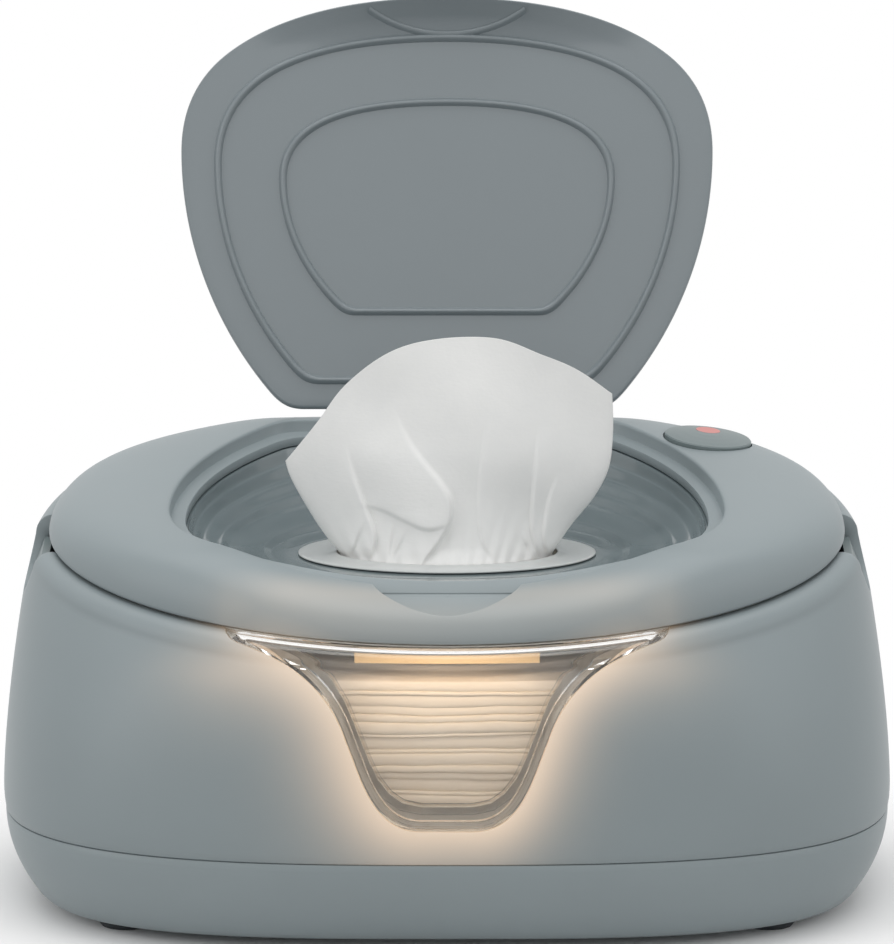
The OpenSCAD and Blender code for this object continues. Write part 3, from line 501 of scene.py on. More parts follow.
addGuideGlow(materials["light_guide"])
materials["wipe"] = wipeMaterial("finish.wipe", srgb(240, 240, 238), srgb(226, 227, 226))
# the folded wipes are white like the pulled one; their warm beige is a painted warm cast of the night light
materials["foldedWipe"] = wipeMaterial("finish.foldedWipe", srgb(250, 240, 226), srgb(236, 224, 208))
materials["window"] = windowMaterial()
slotOf = {part["node"]: part["material_slot"] for part in frame["record"]["subparts"]}
for name, node in nodes.items():
    node.data.materials.clear()
    node.data.materials.append(materials[slotOf[name]])
    smoothShade(node, 32)
print("stage: materials", sorted(materials))


# ---- form of the housing, shared by its shells ----

housing = dict(
    halfWidth=123, depthLossLow=38.5, depthLossHigh=32.5, wall=2.6, jointZ=26.6, shoulderZ=95, shoulderR=5,
    shoulderHalf=115.5, rimZ=99.9, flangeSeat=108.4, partingZ=100.4, partingSlope=0.19, columns=360,
)


def ovalPoint(a, b, n, t):
    c, s = cos(t), sin(t)
    k = (abs(c) ** n + abs(s) ** n) ** (-1 / n)
    return a * c * k, b * s * k


def squareness(up, t):  # exponent of the outline, squarer at the base and at the rear corners
    front = lerp(2.85, 2, up ** 1.5)
    rear = lerp(2.85, 2.4, up ** 1.5)
    return front + (rear - front) * abs(sin(2 * t)) if sin(t) > 0 else front


def housingRing(a, b, up, z, columns=None):
    columns = columns or housing["columns"]
    ring = []
    for i in range(columns):
        t = 2 * pi * i / columns
        x, y = ovalPoint(a, b, squareness(up, t), t)
        ring.append((x, y, z + housing["partingSlope"] * y * up * up))
    return ring


def wallHalf(z):
    return housing["halfWidth"] - 7.5 * max(0, (z - 32) / 63) ** 1.6 - 0.5 * max(0, (32 - z) / 5.4) ** 2


def wallRing(z, inset):
    up = clamp((z - housing["jointZ"]) / (housing["shoulderZ"] - housing["jointZ"]))
    a = wallHalf(z) - inset
    return housingRing(a, a - lerp(housing["depthLossLow"], housing["depthLossHigh"], up), up, z)


def jointRing(a, z):
    return housingRing(a, a - housing["depthLossHigh"], 1, z)


def partingAt(y):
    return housing["partingZ"] + housing["partingSlope"] * y


# Outline of the well and the lid in plan
wellShape = dict(
    front=-58, rear=58.5, half=76.5, side=(76.5, -15.5), cornerStart=(51, 53.5), cornerEnd=(41, 58.5), ledgeDrop=3.5,
)


def makeOutline():
    w = wellShape
    right = [bezier([(0, w["front"]), (53, w["front"]), (w["half"], -43), w["side"]], i / 90) for i in range(90)]
    right += [bezier([w["side"], (w["half"], 10), (67, 34.5), w["cornerStart"]], i / 70) for i in range(70)]
    right += [bezier([w["cornerStart"], (48, 57), (45.5, w["rear"]), w["cornerEnd"]], i / 14) for i in range(14)]
    right += [(w["cornerEnd"][0] * (1 - i / 12), w["rear"]) for i in range(12)]
    return right + [(0, w["rear"])] + [(-x, y) for x, y in reversed(right[1:])]


outline = makeOutline()


def lidHeight(y):
    return 112.5 + 0.13 * y - 0.039 * max(0, -44 - y) ** 2


def wellRing(inset, drop, shift=0):
    half, rear = wellShape["half"], wellShape["rear"]
    ring = []
    for px, py in outline:
        y = py * (1 - inset / rear) + shift
        ring.append((px * (1 - inset / half), y, lidHeight(y) - drop))
    return ring


def outlineAngle(px, py):
    return atan2(py / 58.3, px / wellShape["half"])


def coverRing(k, inset=0, topInset=0, topDrop=0):  # from the joint over the shoulder to the well's rim
    ring = []
    for px, py in outline:
        t = outlineAngle(px, py)
        a = 110.2 - inset
        qx, qy = ovalPoint(a, a - housing["depthLossHigh"] + 0.2, squareness(1, t), t)
        lowZ = partingAt(qy) + 0.5
        x, y = px * (1 - topInset / wellShape["half"]), py * (1 - topInset / wellShape["rear"])
        z = lidHeight(y) - topDrop
        fullness = 1 - 0.45 * max(0, sin(t)) ** 8
        bendZ = lerp(lowZ, z + topDrop - inset, fullness)
        w = ((1 - k) ** 2, 2 * k * (1 - k), k * k)
        ring.append(tuple(w[0] * p + w[1] * q + w[2] * r for p, q, r in zip((qx, qy, lowZ), (qx, qy, bendZ), (x, y, z))))
    return ring


windowShape = dict(foot=36.2, side=[(7, 36.2), (20.5, 36.2), (23.4, 52), (27.3, 61)],
                   flare=[(27.3, 61), (31.5, 74), (41, 81.3), (55.6, 84.9)], corner=[(55.6, 84.9), (58.4, 85.6), (60.2, 86.4), (60.5, 89.5)],
                   top=104)


def makeWindowOutline():
    right = [(7 * i / 5, windowShape["foot"]) for i in range(5)]
    right += [bezier(windowShape["side"], i / 24) for i in range(24)]
    right += [bezier(windowShape["flare"], i / 30) for i in range(30)]
    right += [bezier(windowShape["corner"], i / 6) for i in range(7)]
    right.append((60.5, windowShape["top"]))
    return right + [(-x, z) for x, z in reversed(right[1:])]


windowOutline = makeWindowOutline()


def drawnIn(points, inset):  # closed outline, run counterclockwise, moved inwards
    count = len(points)
    moved = []
    for i in range(count):
        (x0, y0), (x1, y1), (x2, y2) = points[i - 1], points[i], points[(i + 1) % count]
        one = Vector((x1 - x0, y1 - y0)).normalized()
        two = Vector((x2 - x1, y2 - y1)).normalized()
        side = Vector((-one.y - two.y, one.x + two.x)).normalized()
        cut = max(0.35, side.dot(Vector((-one.y, one.x))))
        moved.append((x1 + side.x * inset / cut, y1 + side.y * inset / cut))
    return moved


def windowPrism(name, inset, back=-40):
    return prismMesh(name, drawnIn(windowOutline, inset), -112, back, lambda a, b, along: (a, along, b))


def windowDistance(x, z):  # distance outside the window's outline, in the front view
    best = 1e9
    for i, (ax, az) in enumerate(windowOutline):
        bx, bz = windowOutline[(i + 1) % len(windowOutline)]
        length = (bx - ax) ** 2 + (bz - az) ** 2
        k = clamp(((x - ax) * (bx - ax) + (z - az) * (bz - az)) / length) if length else 0
        best = min(best, (x - ax - k * (bx - ax)) ** 2 + (z - az - k * (bz - az)) ** 2)
    return sqrt(best)


halo = dict(reach=8.5, frontOnly=-55, lift=14)


def paintHalo(piece, most=1):  # how much of the night light shows on the wall round the window
    layer = piece.data.attributes.new("nightGlow", "FLOAT", "POINT")
    for i, vertex in enumerate(piece.data.vertices):
        x, y, z = (c / mm for c in vertex.co)
        if y < halo["frontOnly"] and abs(x) < 95 and z > 10:
            reach = halo["reach"] * lerp(1.25, 0.95, smooth((x + 35) / 70))  # the photo shows it wider on the left
            glow = exp(-(windowDistance(x, z) / reach) ** 1.25)
            inward = 1 - 0.75 * smooth((abs(x) - 40) / 26) * smooth((z - 74) / 12)  # weak past the wings of the window
            layer.data[i].value = most * glow * inward * smooth((halo["frontOnly"] - y) / 12)


# ---- outer wall with its rim ----

def makeWallSolid(name):
    h = housing
    levels = [h["jointZ"] + 0.5 + i * 1.9 for i in range(36)] + [h["shoulderZ"] - 0.4]
    rings = [wallRing(h["jointZ"], 0.7), wallRing(h["jointZ"] + 0.1, 0.35), wallRing(h["jointZ"] + 0.3, 0.1)]
    rings += [wallRing(z, 0) for z in levels]
    for i in range(1, 13):
        q = pi / 2 * i / 12
        rings.append(jointRing(h["shoulderHalf"] - h["shoulderR"] * (1 - cos(q)), lerp(h["shoulderZ"], h["rimZ"], sin(q))))
    rings += [
        jointRing(h["flangeSeat"], h["rimZ"]), jointRing(h["flangeSeat"], h["rimZ"] - 1.6),
        jointRing(105.6, h["rimZ"] - 1.6), jointRing(105.6, h["rimZ"] - 4), jointRing(112, h["rimZ"] - 5.6),
    ]
    rings += [wallRing(z, h["wall"]) for z in (75, 60, 47, 36, h["jointZ"])]
    return skinMesh(name, rings, loop=True)


tongue = dict(z=96.5, r=13, inner=107.2, outer=130)


def tongueOutline(r, top):
    half = [(r * cos(pi + pi * i / 48), tongue["z"] + r * sin(pi + pi * i / 48)) for i in range(49)]
    return half + [(r, top), (-r, top)]


def makeBodyWall():
    wall = makeWallSolid("bodyWall")
    cutters = [windowPrism("cut", 0)]
    for side in (-1, 1):
        cutters.append(prismMesh(
            "cut", tongueOutline(tongue["r"], 120), tongue["inner"], tongue["outer"],
            lambda a, b, along, side=side: (side * along, a, b),
        ))
    cutters.append(prismMesh("cut", circlePoints(8, 106.3, 1.6, 40), 76, 90, lambda a, b, along: (a, along, b)))  # the lead's way out
    combine(wall, "DIFFERENCE", *cutters)
    softenEdges(wall, 0.4)
    lugs = []
    for side in (-1, 1):
        for low, high in ((30.5, 35.4), (44.6, 49.5)):
            curl = [(85 + 3.6 * cos(radians(a)), 109.5 + 3.6 * sin(radians(a))) for a in range(-60, 91, 6)]
            profile = [(79.8, 98), (83, 98.5), (85, 105.4)] + curl + [(84.4, 113.05), (79.3, 111.2)]
            lug = prismMesh("lug", profile, low, high, lambda a, b, along, side=side: (side * along, a, b))
            softenEdges(lug, 0.5)
            lugs.append(lug)
    joinPieces(wall, *lugs)
    smoothShade(wall, 38)
    paintHalo(wall)
    return finishPiece(wall, "housing", materials["housingLit"], "housing", "body_shell")


bodyWall = makeBodyWall()
print("stage: body wall,", len(bodyWall.data.vertices), "points")


# ---- base tray ----

base = dict(bottomZ=3, feet=(88, 45), footR=7.7, screws=(62, 46), screwR=3.6)


def underRing(z, inset):
    h = housing
    k = (h["jointZ"] - z) / (h["jointZ"] - base["bottomZ"])
    a = h["halfWidth"] - 0.5 - 10.1 * k * k - inset
    b = h["halfWidth"] - h["depthLossLow"] - 0.5 - 9.8 * k * k - inset
    ring = []
    for i in range(h["columns"]):
        t = 2 * pi * i / h["columns"]
        ring.append((*ovalPoint(a, b, 2.85 + 0.3 * k, t), z))
    return ring


def makeBaseTray():
    h, low = housing, base["bottomZ"]
    rings = [underRing(low, 2.4), underRing(low + 0.15, 1.4), underRing(low + 0.5, 0.7), underRing(low + 1.2, 0.25)]
    rings += [underRing(low + 2.2 + i * 1.6, 0) for i in range(13)]
    rings += [underRing(h["jointZ"] - 0.5, 0.02), underRing(h["jointZ"] - 0.15, 0.2), underRing(h["jointZ"], 0.75)]
    rings += [wallRing(h["jointZ"], 3.3), wallRing(h["jointZ"] + 3, 3.5), wallRing(h["jointZ"] + 3, 4.6)]
    rings += [underRing(h["jointZ"] - 4, 4.6), underRing(14, 2.6), underRing(8.4, 2.6), underRing(5.8, 5.6)]
    tray = skinMesh("baseTray", rings)
    cutters = []
    for sx in (-1, 1):
        for sy in (-1, 1):
            x, y = sx * base["feet"][0], sy * base["feet"][1]
            cutters.append(prismMesh("cut", circlePoints(x, y, base["footR"]), -1, 4.4, lambda a, b, along: (a, b, along)))
            x, y = sx * base["screws"][0], sy * base["screws"][1]
            cutters.append(prismMesh("cut", circlePoints(x, y, base["screwR"], 64), -1, 5.6, lambda a, b, along: (a, b, along)))
    for i in range(-3, 4):
        slot = [(i * 7 - 1.1, -30), (i * 7 + 1.1, -30), (i * 7 + 1.1, -4), (i * 7 - 1.1, -4)]
        cutters.append(prismMesh("cut", slot, -1, 9, lambda a, b, along: (a, b, along)))
    cutters.append(prismMesh("cut", circlePoints(-40, 16, 5.6), 74.5, 95, lambda a, b, along: (a, along, b)))
    combine(tray, "DIFFERENCE", *cutters)
    softenEdges(tray, 0.4)
    smoothShade(tray, 38)
    return finishPiece(tray, "housing", materials["housingLit"], "housing", "base_shell")


baseTray = makeBaseTray()
print("stage: base tray,", len(baseTray.data.vertices), "points")


# ---- refill cover ----

scoopShape = dict(y=-54.25, r=20.25, arcY=-69.3, arcZ=116.7, arcR=25, back=-56.3)
buttonPlace = dict(at=(73.5, 45.5, 117.2), tilt=(1.7, 6.1), r=12.3, gap=0.35)


def scoopSolid(grow, back):
    s = scoopShape
    post = prismMesh("scoop", circlePoints(0, s["y"], s["r"] + grow, 160), 80, 120, lambda a, b, along: (a, b, along))
    roll = prismMesh("roll", circlePoints(s["arcY"], s["arcZ"], s["arcR"] + grow, 240), -40, 40, lambda a, b, along: (along, a, b))
    block = prismMesh("block", [(-45, back - 45), (45, back - 45), (45, back), (-45, back)], 79, 121, lambda a, b, along: (a, b, along))
    return combine(post, "INTERSECT", roll, block)


def atButton(piece):  # from the button's own axes to its place in the cover
    turn = Matrix.Rotation(radians(buttonPlace["tilt"][1]), 4, "Y") @ Matrix.Rotation(radians(buttonPlace["tilt"][0]), 4, "X")
    piece.data.transform(Matrix.Translation(Vector(buttonPlace["at"]) * mm) @ turn)
    return piece


def makeCover():
    drop = wellShape["ledgeDrop"]
    under = drop + 2.4
    rings = [coverRing(0, 0.35), coverRing(0.012, 0.06)]
    rings += [coverRing(0.03 + 0.95 * i / 40) for i in range(41)]
    rings += [coverRing(0.994), wellRing(0.05, 0.1), wellRing(0.25, 0.3), wellRing(0.4, 0.7)]
    rings += [wellRing(0.45, drop - 0.3), wellRing(0.6, drop - 0.05), wellRing(0.9, drop), wellRing(4.1, drop)]
    rings += [wellRing(4.45, drop + 0.1), wellRing(4.6, drop + 0.4), wellRing(4.6, under)]
    inner = []
    for k in (1, 0.85, 0.7, 0.5, 0.35):
        inner.append([(x, y, max(z, partingAt(y) + 2.15)) for x, y, z in coverRing(k, 2.4, -1.5, under)])
    cover = skinMesh("refillCover", rings + inner + [coverRing(0, 2.4)], loop=True)
    walls = combine(
        scoopSolid(1.7, -54.9), "INTERSECT", skinMesh("inside", [coverRing(k / 12, 1.2, 0, 1.2) for k in range(13)])
    )
    combine(walls, "DIFFERENCE", skinMesh("space", [wellRing(0.45, drop), wellRing(0.4, -8)]))
    hole = atButton(prismMesh("cut", circlePoints(0, 0, buttonPlace["r"] + buttonPlace["gap"], 120), -12, 12, lambda a, b, along: (a, b, along)))
    return cover, walls, hole


coverShell, scoopWalls, buttonHole = makeCover()
combine(coverShell, "UNION", scoopWalls)
combine(coverShell, "DIFFERENCE", scoopSolid(0, scoopShape["back"]), buttonHole)


def addCoverParts():
    pieces = []
    cradle = prismMesh(
        "cradle", [(58.8, 112.7), (68.2, 112.7), (68.2, 117.6), (67.2, 118.6), (58.8, 118.6)], -21, 21,
        lambda a, b, along: (along, a, b),
    )
    room = prismMesh("room", [(53, 114.2), (66.5, 114.2), (66.5, 125), (53, 125)], -14.6, 14.6, lambda a, b, along: (along, a, b))
    combine(cradle, "DIFFERENCE", room)
    softenEdges(cradle, 0.4)
    pieces.append(cradle)
    for side in (-1, 1):
        eye = [(85 + 3.4 * cos(radians(a)), 109.5 + 3.4 * sin(radians(a))) for a in range(-200, 61, 8)]
        arm = [(86.9, 113), (84, 114.6), (80, 116), (76.4, 117), (76.2, 115.4), (80.6, 113.8)]
        knuckle = prismMesh("knuckle", eye + arm, 36, 44, lambda a, b, along, side=side: (side * along, a, b))
        softenEdges(knuckle, 0.4)
        pieces.append(knuckle)
        catch = [(104.9, 88), (106.5, 88), (106.5, 101.6), (108.4, 101.6), (108.4, 104), (104.9, 104)]
        hook = prismMesh("hook", [(103.8, 88), (104.9, 88)] + catch[1:] + [(104.9, 89.4), (103.8, 89.4)], -4, 4,
                         lambda a, b, along, side=side: (side * a, along, b))
        pieces.append(hook)
    return pieces


def finishCover():
    room = prismMesh("room", [(53, 114.2), (66.5, 114.2), (66.5, 125), (53, 125)], -14.6, 14.6, lambda a, b, along: (along, a, b))
    leadHole = prismMesh("cut", circlePoints(20, 117.3, 1.6, 40), 70, 95, lambda a, b, along: (a, along, b))
    combine(coverShell, "DIFFERENCE", room, leadHole)
    softenEdges(coverShell, 0.35)
    joinPieces(coverShell, *addCoverParts())
    smoothShade(coverShell, 38)
    paintHalo(coverShell, 0.45)
    return finishPiece(coverShell, "cover", materials["housingLit"], "housing", "cover_shell")


finishCover()
print("stage: refill cover,", len(coverShell.data.vertices), "points")


# ---- glossy dish ----

dishShape = dict(
    inset=5.4, slot=(39, 24), slotY=-5, slotZ=95,
    steps=[(0, 0), (0.12, 0.02), (0.3, 0.07), (0.38, 0.16), (0.66, 0.3), (0.74, 0.42), (0.88, 0.6), (0.96, 0.8), (1, 1)],
)


def stepHeight(share):
    steps = dishShape["steps"]
    for i in range(len(steps) - 1):
        if share <= steps[i + 1][0]:
            k = (share - steps[i][0]) / (steps[i + 1][0] - steps[i][0])
            p0, p1, p2, p3 = (steps[clamp(j, 0, len(steps) - 1)][1] for j in (i - 1, i, i + 1, i + 2))
            return lerp(p1, p2, lerp(k, smooth(k), 0.6))
    return 1


def dishRing(share, down=0, drop=0):
    d = dishShape
    ring = []
    for px, py in outline:
        t = outlineAngle(px, py)
        x = px * (1 - d["inset"] / wellShape["half"])
        y = py * (1 - d["inset"] / wellShape["rear"])
        sx, sy = d["slot"][0] * cos(t), d["slotY"] + d["slot"][1] * sin(t)
        high = lidHeight(y) - wellShape["ledgeDrop"] - 2.45
        ring.append((lerp(sx, x, share), lerp(sy, y, share), lerp(d["slotZ"], high, stepHeight(share)) - down - drop))
    return ring


def makeDish():
    inset, top = dishShape["inset"], wellShape["ledgeDrop"] + 2.8
    rings = [dishRing(share, 2) for share in (0, 0.3, 0.6, 0.9)]
    rings += [wellRing(inset - 2.2, top + 1.6), wellRing(1.9, top + 1.6), wellRing(1.9, top), wellRing(inset - 0.2, top)]
    rings += [dishRing(1 - i / 150) for i in range(151)]
    dish = skinMesh("wipeDish", rings, loop=True)
    gap = prismMesh("cut", [(-23.5, -94.6), (23.5, -94.6), (23.5, -54.6), (-23.5, -54.6)], 80, 120, lambda a, b, along: (a, b, along))
    combine(dish, "DIFFERENCE", gap)
    smoothShade(dish, 40)
    return finishPiece(dish, "cover", materials["dish"], "dish", "dispenser_dish")


wipeDish = makeDish()


def makeSeal():  # soft lip round the hole
    y, z = dishShape["slotY"], dishShape["slotZ"]
    slot, hole = dishShape["slot"], (30.6, 18.5)
    count = 240

    def oval(half, grow, up):
        return [((half[0] + grow) * cos(2 * pi * i / count), y + (half[1] + grow) * sin(2 * pi * i / count), z + up) for i in range(count)]

    rings = [
        oval(slot, 1.6, -3.1), oval(slot, 1.6, -2.15), oval(slot, -0.3, -2.15), oval(slot, -0.3, 0.25), oval(slot, 1.9, 0.3),
        oval(slot, 2.15, 0.5), oval(slot, 2.1, 0.75), oval(slot, 1.7, 0.95), oval(slot, 0.8, 1), oval(slot, -1.2, 0.85),
        oval(hole, 3, 0.75), oval(hole, 1.6, 0.8), oval(hole, 0.8, 1.05), oval(hole, 0.3, 1.1), oval(hole, 0, 0.95),
        oval(hole, 0, 0.6), oval(hole, 0.4, 0.2), oval(hole, 1.6, -0.6), oval(hole, 3.4, -3.1),
    ]
    seal = skinMesh("holeSeal", rings, loop=True)
    smoothShade(seal, 50)
    return finishPiece(seal, "cover", materials["softLip"], "seal", "orifice_seal")


holeSeal = makeSeal()
print("stage: dish and seal")


# ---- flip lid, made shut and turned open ----

lid = dict(thick=2.6, angle=114, hinge=(0, 62.5, 117.3), inset=0.9, shift=-0.35, pin=1.15, high=1.2, half=1.1)


def lidRing(share, shift, off, drop):
    ring = []
    for px, py in outline:
        y = py * (share[1] + off / 58) + shift
        ring.append((px * (share[0] + off / wellShape["half"]), y, lidHeight(y) - drop))
    return ring


def lidRib(share, shift):
    rings = []
    for i in range(9):
        k = -1 + 2 * i / 8
        rings.append(lidRing(share, shift, lid["half"] * k, lid["thick"] + lid["high"] * cos(pi / 2 * k) ** 0.8))
    return rings


def lidField(low, high, steps, shift=0):
    return [lidRing((lerp(low[0], high[0], i / steps), lerp(low[1], high[1], i / steps)), shift, 0, lid["thick"]) for i in range(steps)]


def makeLid():
    thick, inset, shift = lid["thick"], lid["inset"], lid["shift"]
    rings = [lidRing((0.02, 0.02), 0, 0, thick)] + lidField((0.1, 0.08), (0.58, 0.48), 6)
    rings += lidRib((0.61, 0.51), 0.2) + lidField((0.64, 0.545), (0.82, 0.8), 5, 0.4) + lidRib((0.852, 0.833), 0.8)
    rings += lidField((0.885, 0.87), (0.96, 0.955), 3, 0.2)
    rings += [wellRing(inset + 0.7, thick, shift), wellRing(inset + 0.25, thick - 0.12, shift), wellRing(inset, thick - 0.5, shift)]
    rings += [wellRing(inset, 0.8, shift), wellRing(inset + 0.1, 0.4, shift), wellRing(inset + 0.4, 0.12, shift), wellRing(inset + 1, 0, shift)]
    rings += [lidRing((1 - 0.12 * i, 1 - 0.12 * i), 0, 0, 0) for i in range(1, 9)]
    shell = skinMesh("flipLid", rings)
    arcR, arcMiddle = 43.5, -58 + 9.6 - 43.5
    sweep = []
    for i in range(-24, 25):
        t = radians(i * 1.28)
        ring = []
        for off, drop in ((-0.95, 2.4), (-0.7, 3.05), (-0.3, 3.4), (0.1, 3.45), (0.5, 3.25), (0.8, 2.8), (0.95, 2.4)):
            y = arcMiddle + (arcR + off) * cos(t)
            ring.append((-(arcR + off) * sin(t), y, lidHeight(y) - drop))
        sweep.append(ring)
    arc = skinMesh("arc", sweep)
    eye = [(62.5 + 2.6 * cos(radians(a)), 117.3 + 2.6 * sin(radians(a))) for a in range(-90, 91, 8)]
    arm = [(61.2, 119.75), (55, 119.2), (55, 117.2), (60.4, 115.8)]
    knuckle = prismMesh("knuckle", eye + arm, -14, 14, lambda a, b, along: (along, a, b))
    softenEdges(knuckle, 0.4)
    pin = prismMesh("pin", circlePoints(62.5, 117.3, lid["pin"], 48), -20, 20, lambda a, b, along: (along, a, b))
    combine(knuckle, "DIFFERENCE", pin)
    joinPieces(shell, arc, knuckle)
    place = Vector(lid["hinge"]) * mm
    shell.data.transform(
        Matrix.Translation(place) @ Matrix.Rotation(radians(-lid["angle"]), 4, "X") @ Matrix.Translation(-place)
    )
    smoothShade(shell, 38)
    return finishPiece(shell, "lid", materials["lidShell"], "housing", "flip_lid")


flipLid = makeLid()
print("stage: flip lid")


# ---- clear window ----

def makeWindow():  # clear pane, thicker along its border
    pane = combine(makeWallSolid("clearWindow"), "INTERSECT", windowPrism("cut", 0.25))
    deep, h = 2.3, housing
    space = [wallRing(z, deep) for z in (20, 36, 47, 61, 75, 87, 94.2)]
    for i in range(1, 9):
        q = pi / 2 * i / 8
        a = h["shoulderHalf"] - deep - (h["shoulderR"] - deep) * (1 - cos(q))
        space.append(jointRing(a, lerp(h["shoulderZ"], h["rimZ"] - 1.9, sin(q))))
    combine(pane, "DIFFERENCE", skinMesh("space", space))
    seat = skinMesh("seat", [jointRing(109.4, 88), jointRing(109.4, 101)])
    levels = (27.6, 36, 47, 61, 75, 87, 94.2)
    border = skinMesh("border", [wallRing(z, 1) for z in levels])
    combine(border, "DIFFERENCE", skinMesh("inside", [wallRing(z, 5.4) for z in (20,) + levels + (99,)]))
    combine(border, "INTERSECT", windowPrism("cut", 0.25))
    combine(border, "DIFFERENCE", windowPrism("cut", 2.3))
    combine(pane, "UNION", border)
    groove = skinMesh("groove", [wallRing(z, -1) for z in levels])
    combine(groove, "DIFFERENCE", skinMesh("inside", [wallRing(z, 0.45) for z in (20,) + levels + (99,)]))
    combine(groove, "INTERSECT", windowPrism("cut", 1.5))
    combine(groove, "DIFFERENCE", windowPrism("cut", 2.3))
    combine(pane, "DIFFERENCE", seat, groove)
    softenEdges(pane, 0.25)
    smoothShade(pane, 30)
    return finishPiece(pane, "housing", materials["window"], "window", "window")


clearWindow = makeWindow()
print("stage: window,", len(clearWindow.data.vertices), "points")


# ---- bin, its opening a little larger than the window's clear part ----

def makeBin():
    bin_ = copyPiece(nodes["wipe_bin"], "wipeBin")
    opening = prismMesh(
        "cut", [(x, z - 3.6) for x, z in drawnIn(windowOutline, 0.6)], -112, -40, lambda a, b, along: (a, along, b),
    )
    block = prismMesh("block", [(-70, 32), (70, 32), (70, 81.5), (-70, 81.5)], -112, -40, lambda a, b, along: (a, along, b))
    combine(bin_, "DIFFERENCE", combine(opening, "INTERSECT", block))
    smoothShade(bin_, 32)
    return finishPiece(bin_, "housing", materials["bin"], "bin", "wipe_bin")


makeBin()
nodes["window_seal"].data.materials[0] = materials["window"]  # clear rubber, so that the wipes show down to the border
print("stage: bin")


# ---- springs behind the side buttons ----

springs = dict(inner=100.5, outer=109.9, turns=6, coilR=2.1, wire=0.3, y=8, z=88, keep=0.77)


def makeSpring(side, y):
    rings, sides, steps = [], 10, 24
    total = springs["turns"] * steps
    for i in range(total + 1):
        t = 2 * pi * i / steps
        turn = i / steps
        k = clamp((turn - 0.75) / (springs["turns"] - 1.5))
        x = lerp(springs["inner"] + 0.3, springs["outer"] - 0.3, k) + 0.25 * (min(turn, 0.75) - 0.75 + max(0, turn - springs["turns"] + 0.75))
        out = Vector((0, cos(t), sin(t)))
        pitch = (springs["outer"] - springs["inner"]) / (2 * pi * springs["coilR"] * springs["turns"])
        across = Vector((pitch, -sin(t), cos(t))).normalized().cross(out)
        middle = Vector((x, y, springs["z"])) + out * springs["coilR"]
        ring = []
        for j in range(sides):
            a = 2 * pi * j / sides
            place = middle + (out * cos(a) + across * sin(a)) * springs["wire"]
            ring.append((side * place.x, place.y, place.z))
        rings.append(ring)
    return skinMesh("spring", rings)


def makeSprings(side, name, node):
    pair = joinPieces(makeSpring(side, springs["y"]), makeSpring(side, -springs["y"]))
    pair.name = name
    bm = bmesh.new()
    bm.from_mesh(pair.data)
    bmesh.ops.recalc_face_normals(bm, faces=bm.faces)
    bm.to_mesh(pair.data)
    bm.free()
    smoothShade(pair, 50)
    finishPiece(pair, "housing", materials["steel"], "steel", node)
    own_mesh(pair)


makeSprings(-1, "releaseSpringsLeft", "release_springs_left")
makeSprings(1, "releaseSpringsRight", "release_springs_right")
print("stage: springs")


# ---- folded wipes behind the window ----

stack = dict(
    half=(86.5, 53.5), exponent=2.9, centreY=-8, bottom=28.4, height=43.8, layers=19, shift=0.5, uneven=0.32, wave=0.75,
)


def makeStack():
    columns = 260
    layer = stack["height"] / stack["layers"]
    rows = ((0, -0.62), (0.1, -0.24), (0.3, -0.03), (0.55, 0), (0.8, -0.09), (0.93, -0.3))
    levels = [i + (stack["uneven"] * sin(i * 2.7 + 0.4) if 0 < i < stack["layers"] else 0) for i in range(stack["layers"] + 1)]
    rings = []
    for i in range(stack["layers"]):
        dx, dy = stack["shift"] * sin(i * 2.29), stack["shift"] * sin(i * 1.34)
        for share, inset in rows:
            ring = []
            at = lerp(levels[i], levels[i + 1], share)
            for j in range(columns):
                t = 2 * pi * j / columns
                x, y = ovalPoint(stack["half"][0] + inset, stack["half"][1] + inset, stack["exponent"], t)
                wave = noise(Vector((0.035 * x + 3, 0.035 * y, at * 0.3))) + 0.5 * noise(Vector((0.1 * x, 0.1 * y + 7, at * 0.45)))
                free = sin(pi * clamp(at / stack["layers"])) ** 0.4
                grow = 1 + 0.0035 * noise(Vector((0.05 * x, 0.05 * y, i * 1.7)))
                z = stack["bottom"] + at * layer + stack["wave"] * wave * free
                ring.append((x * grow + dx, y * grow + dy + stack["centreY"], z))
            rings.append(ring)
    piece = skinMesh("foldedWipes", rings)
    smoothShade(piece, 60)
    return finishPiece(piece, "housing", materials["foldedWipe"], "wipe", "wipe_stack")


foldedWipes = makeStack()
print("stage: folded wipes")


# ---- pulled wipe ----

wipe = dict(
    slotY=-5, footZ=86, neckZ=95.6, footHalf=29.6, bow=17, thick=0.35, lean=9.5, belly=4.5,
    top=[(-44.6, 120.8), (-36, 131.5), (-28, 142), (-16, 151), (-3, 154.6), (13.5, 154.8), (26, 150.3), (36, 145.8), (45.6, 139)],
    left=[(-29.6, 95.6), (-35, 102.5), (-40, 110.5), (-43.2, 116.5), (-44.6, 120.8)],
    right=[(29, 95.6), (34, 103), (40.5, 111), (44.6, 119), (45.8, 129), (45.6, 139)],
)
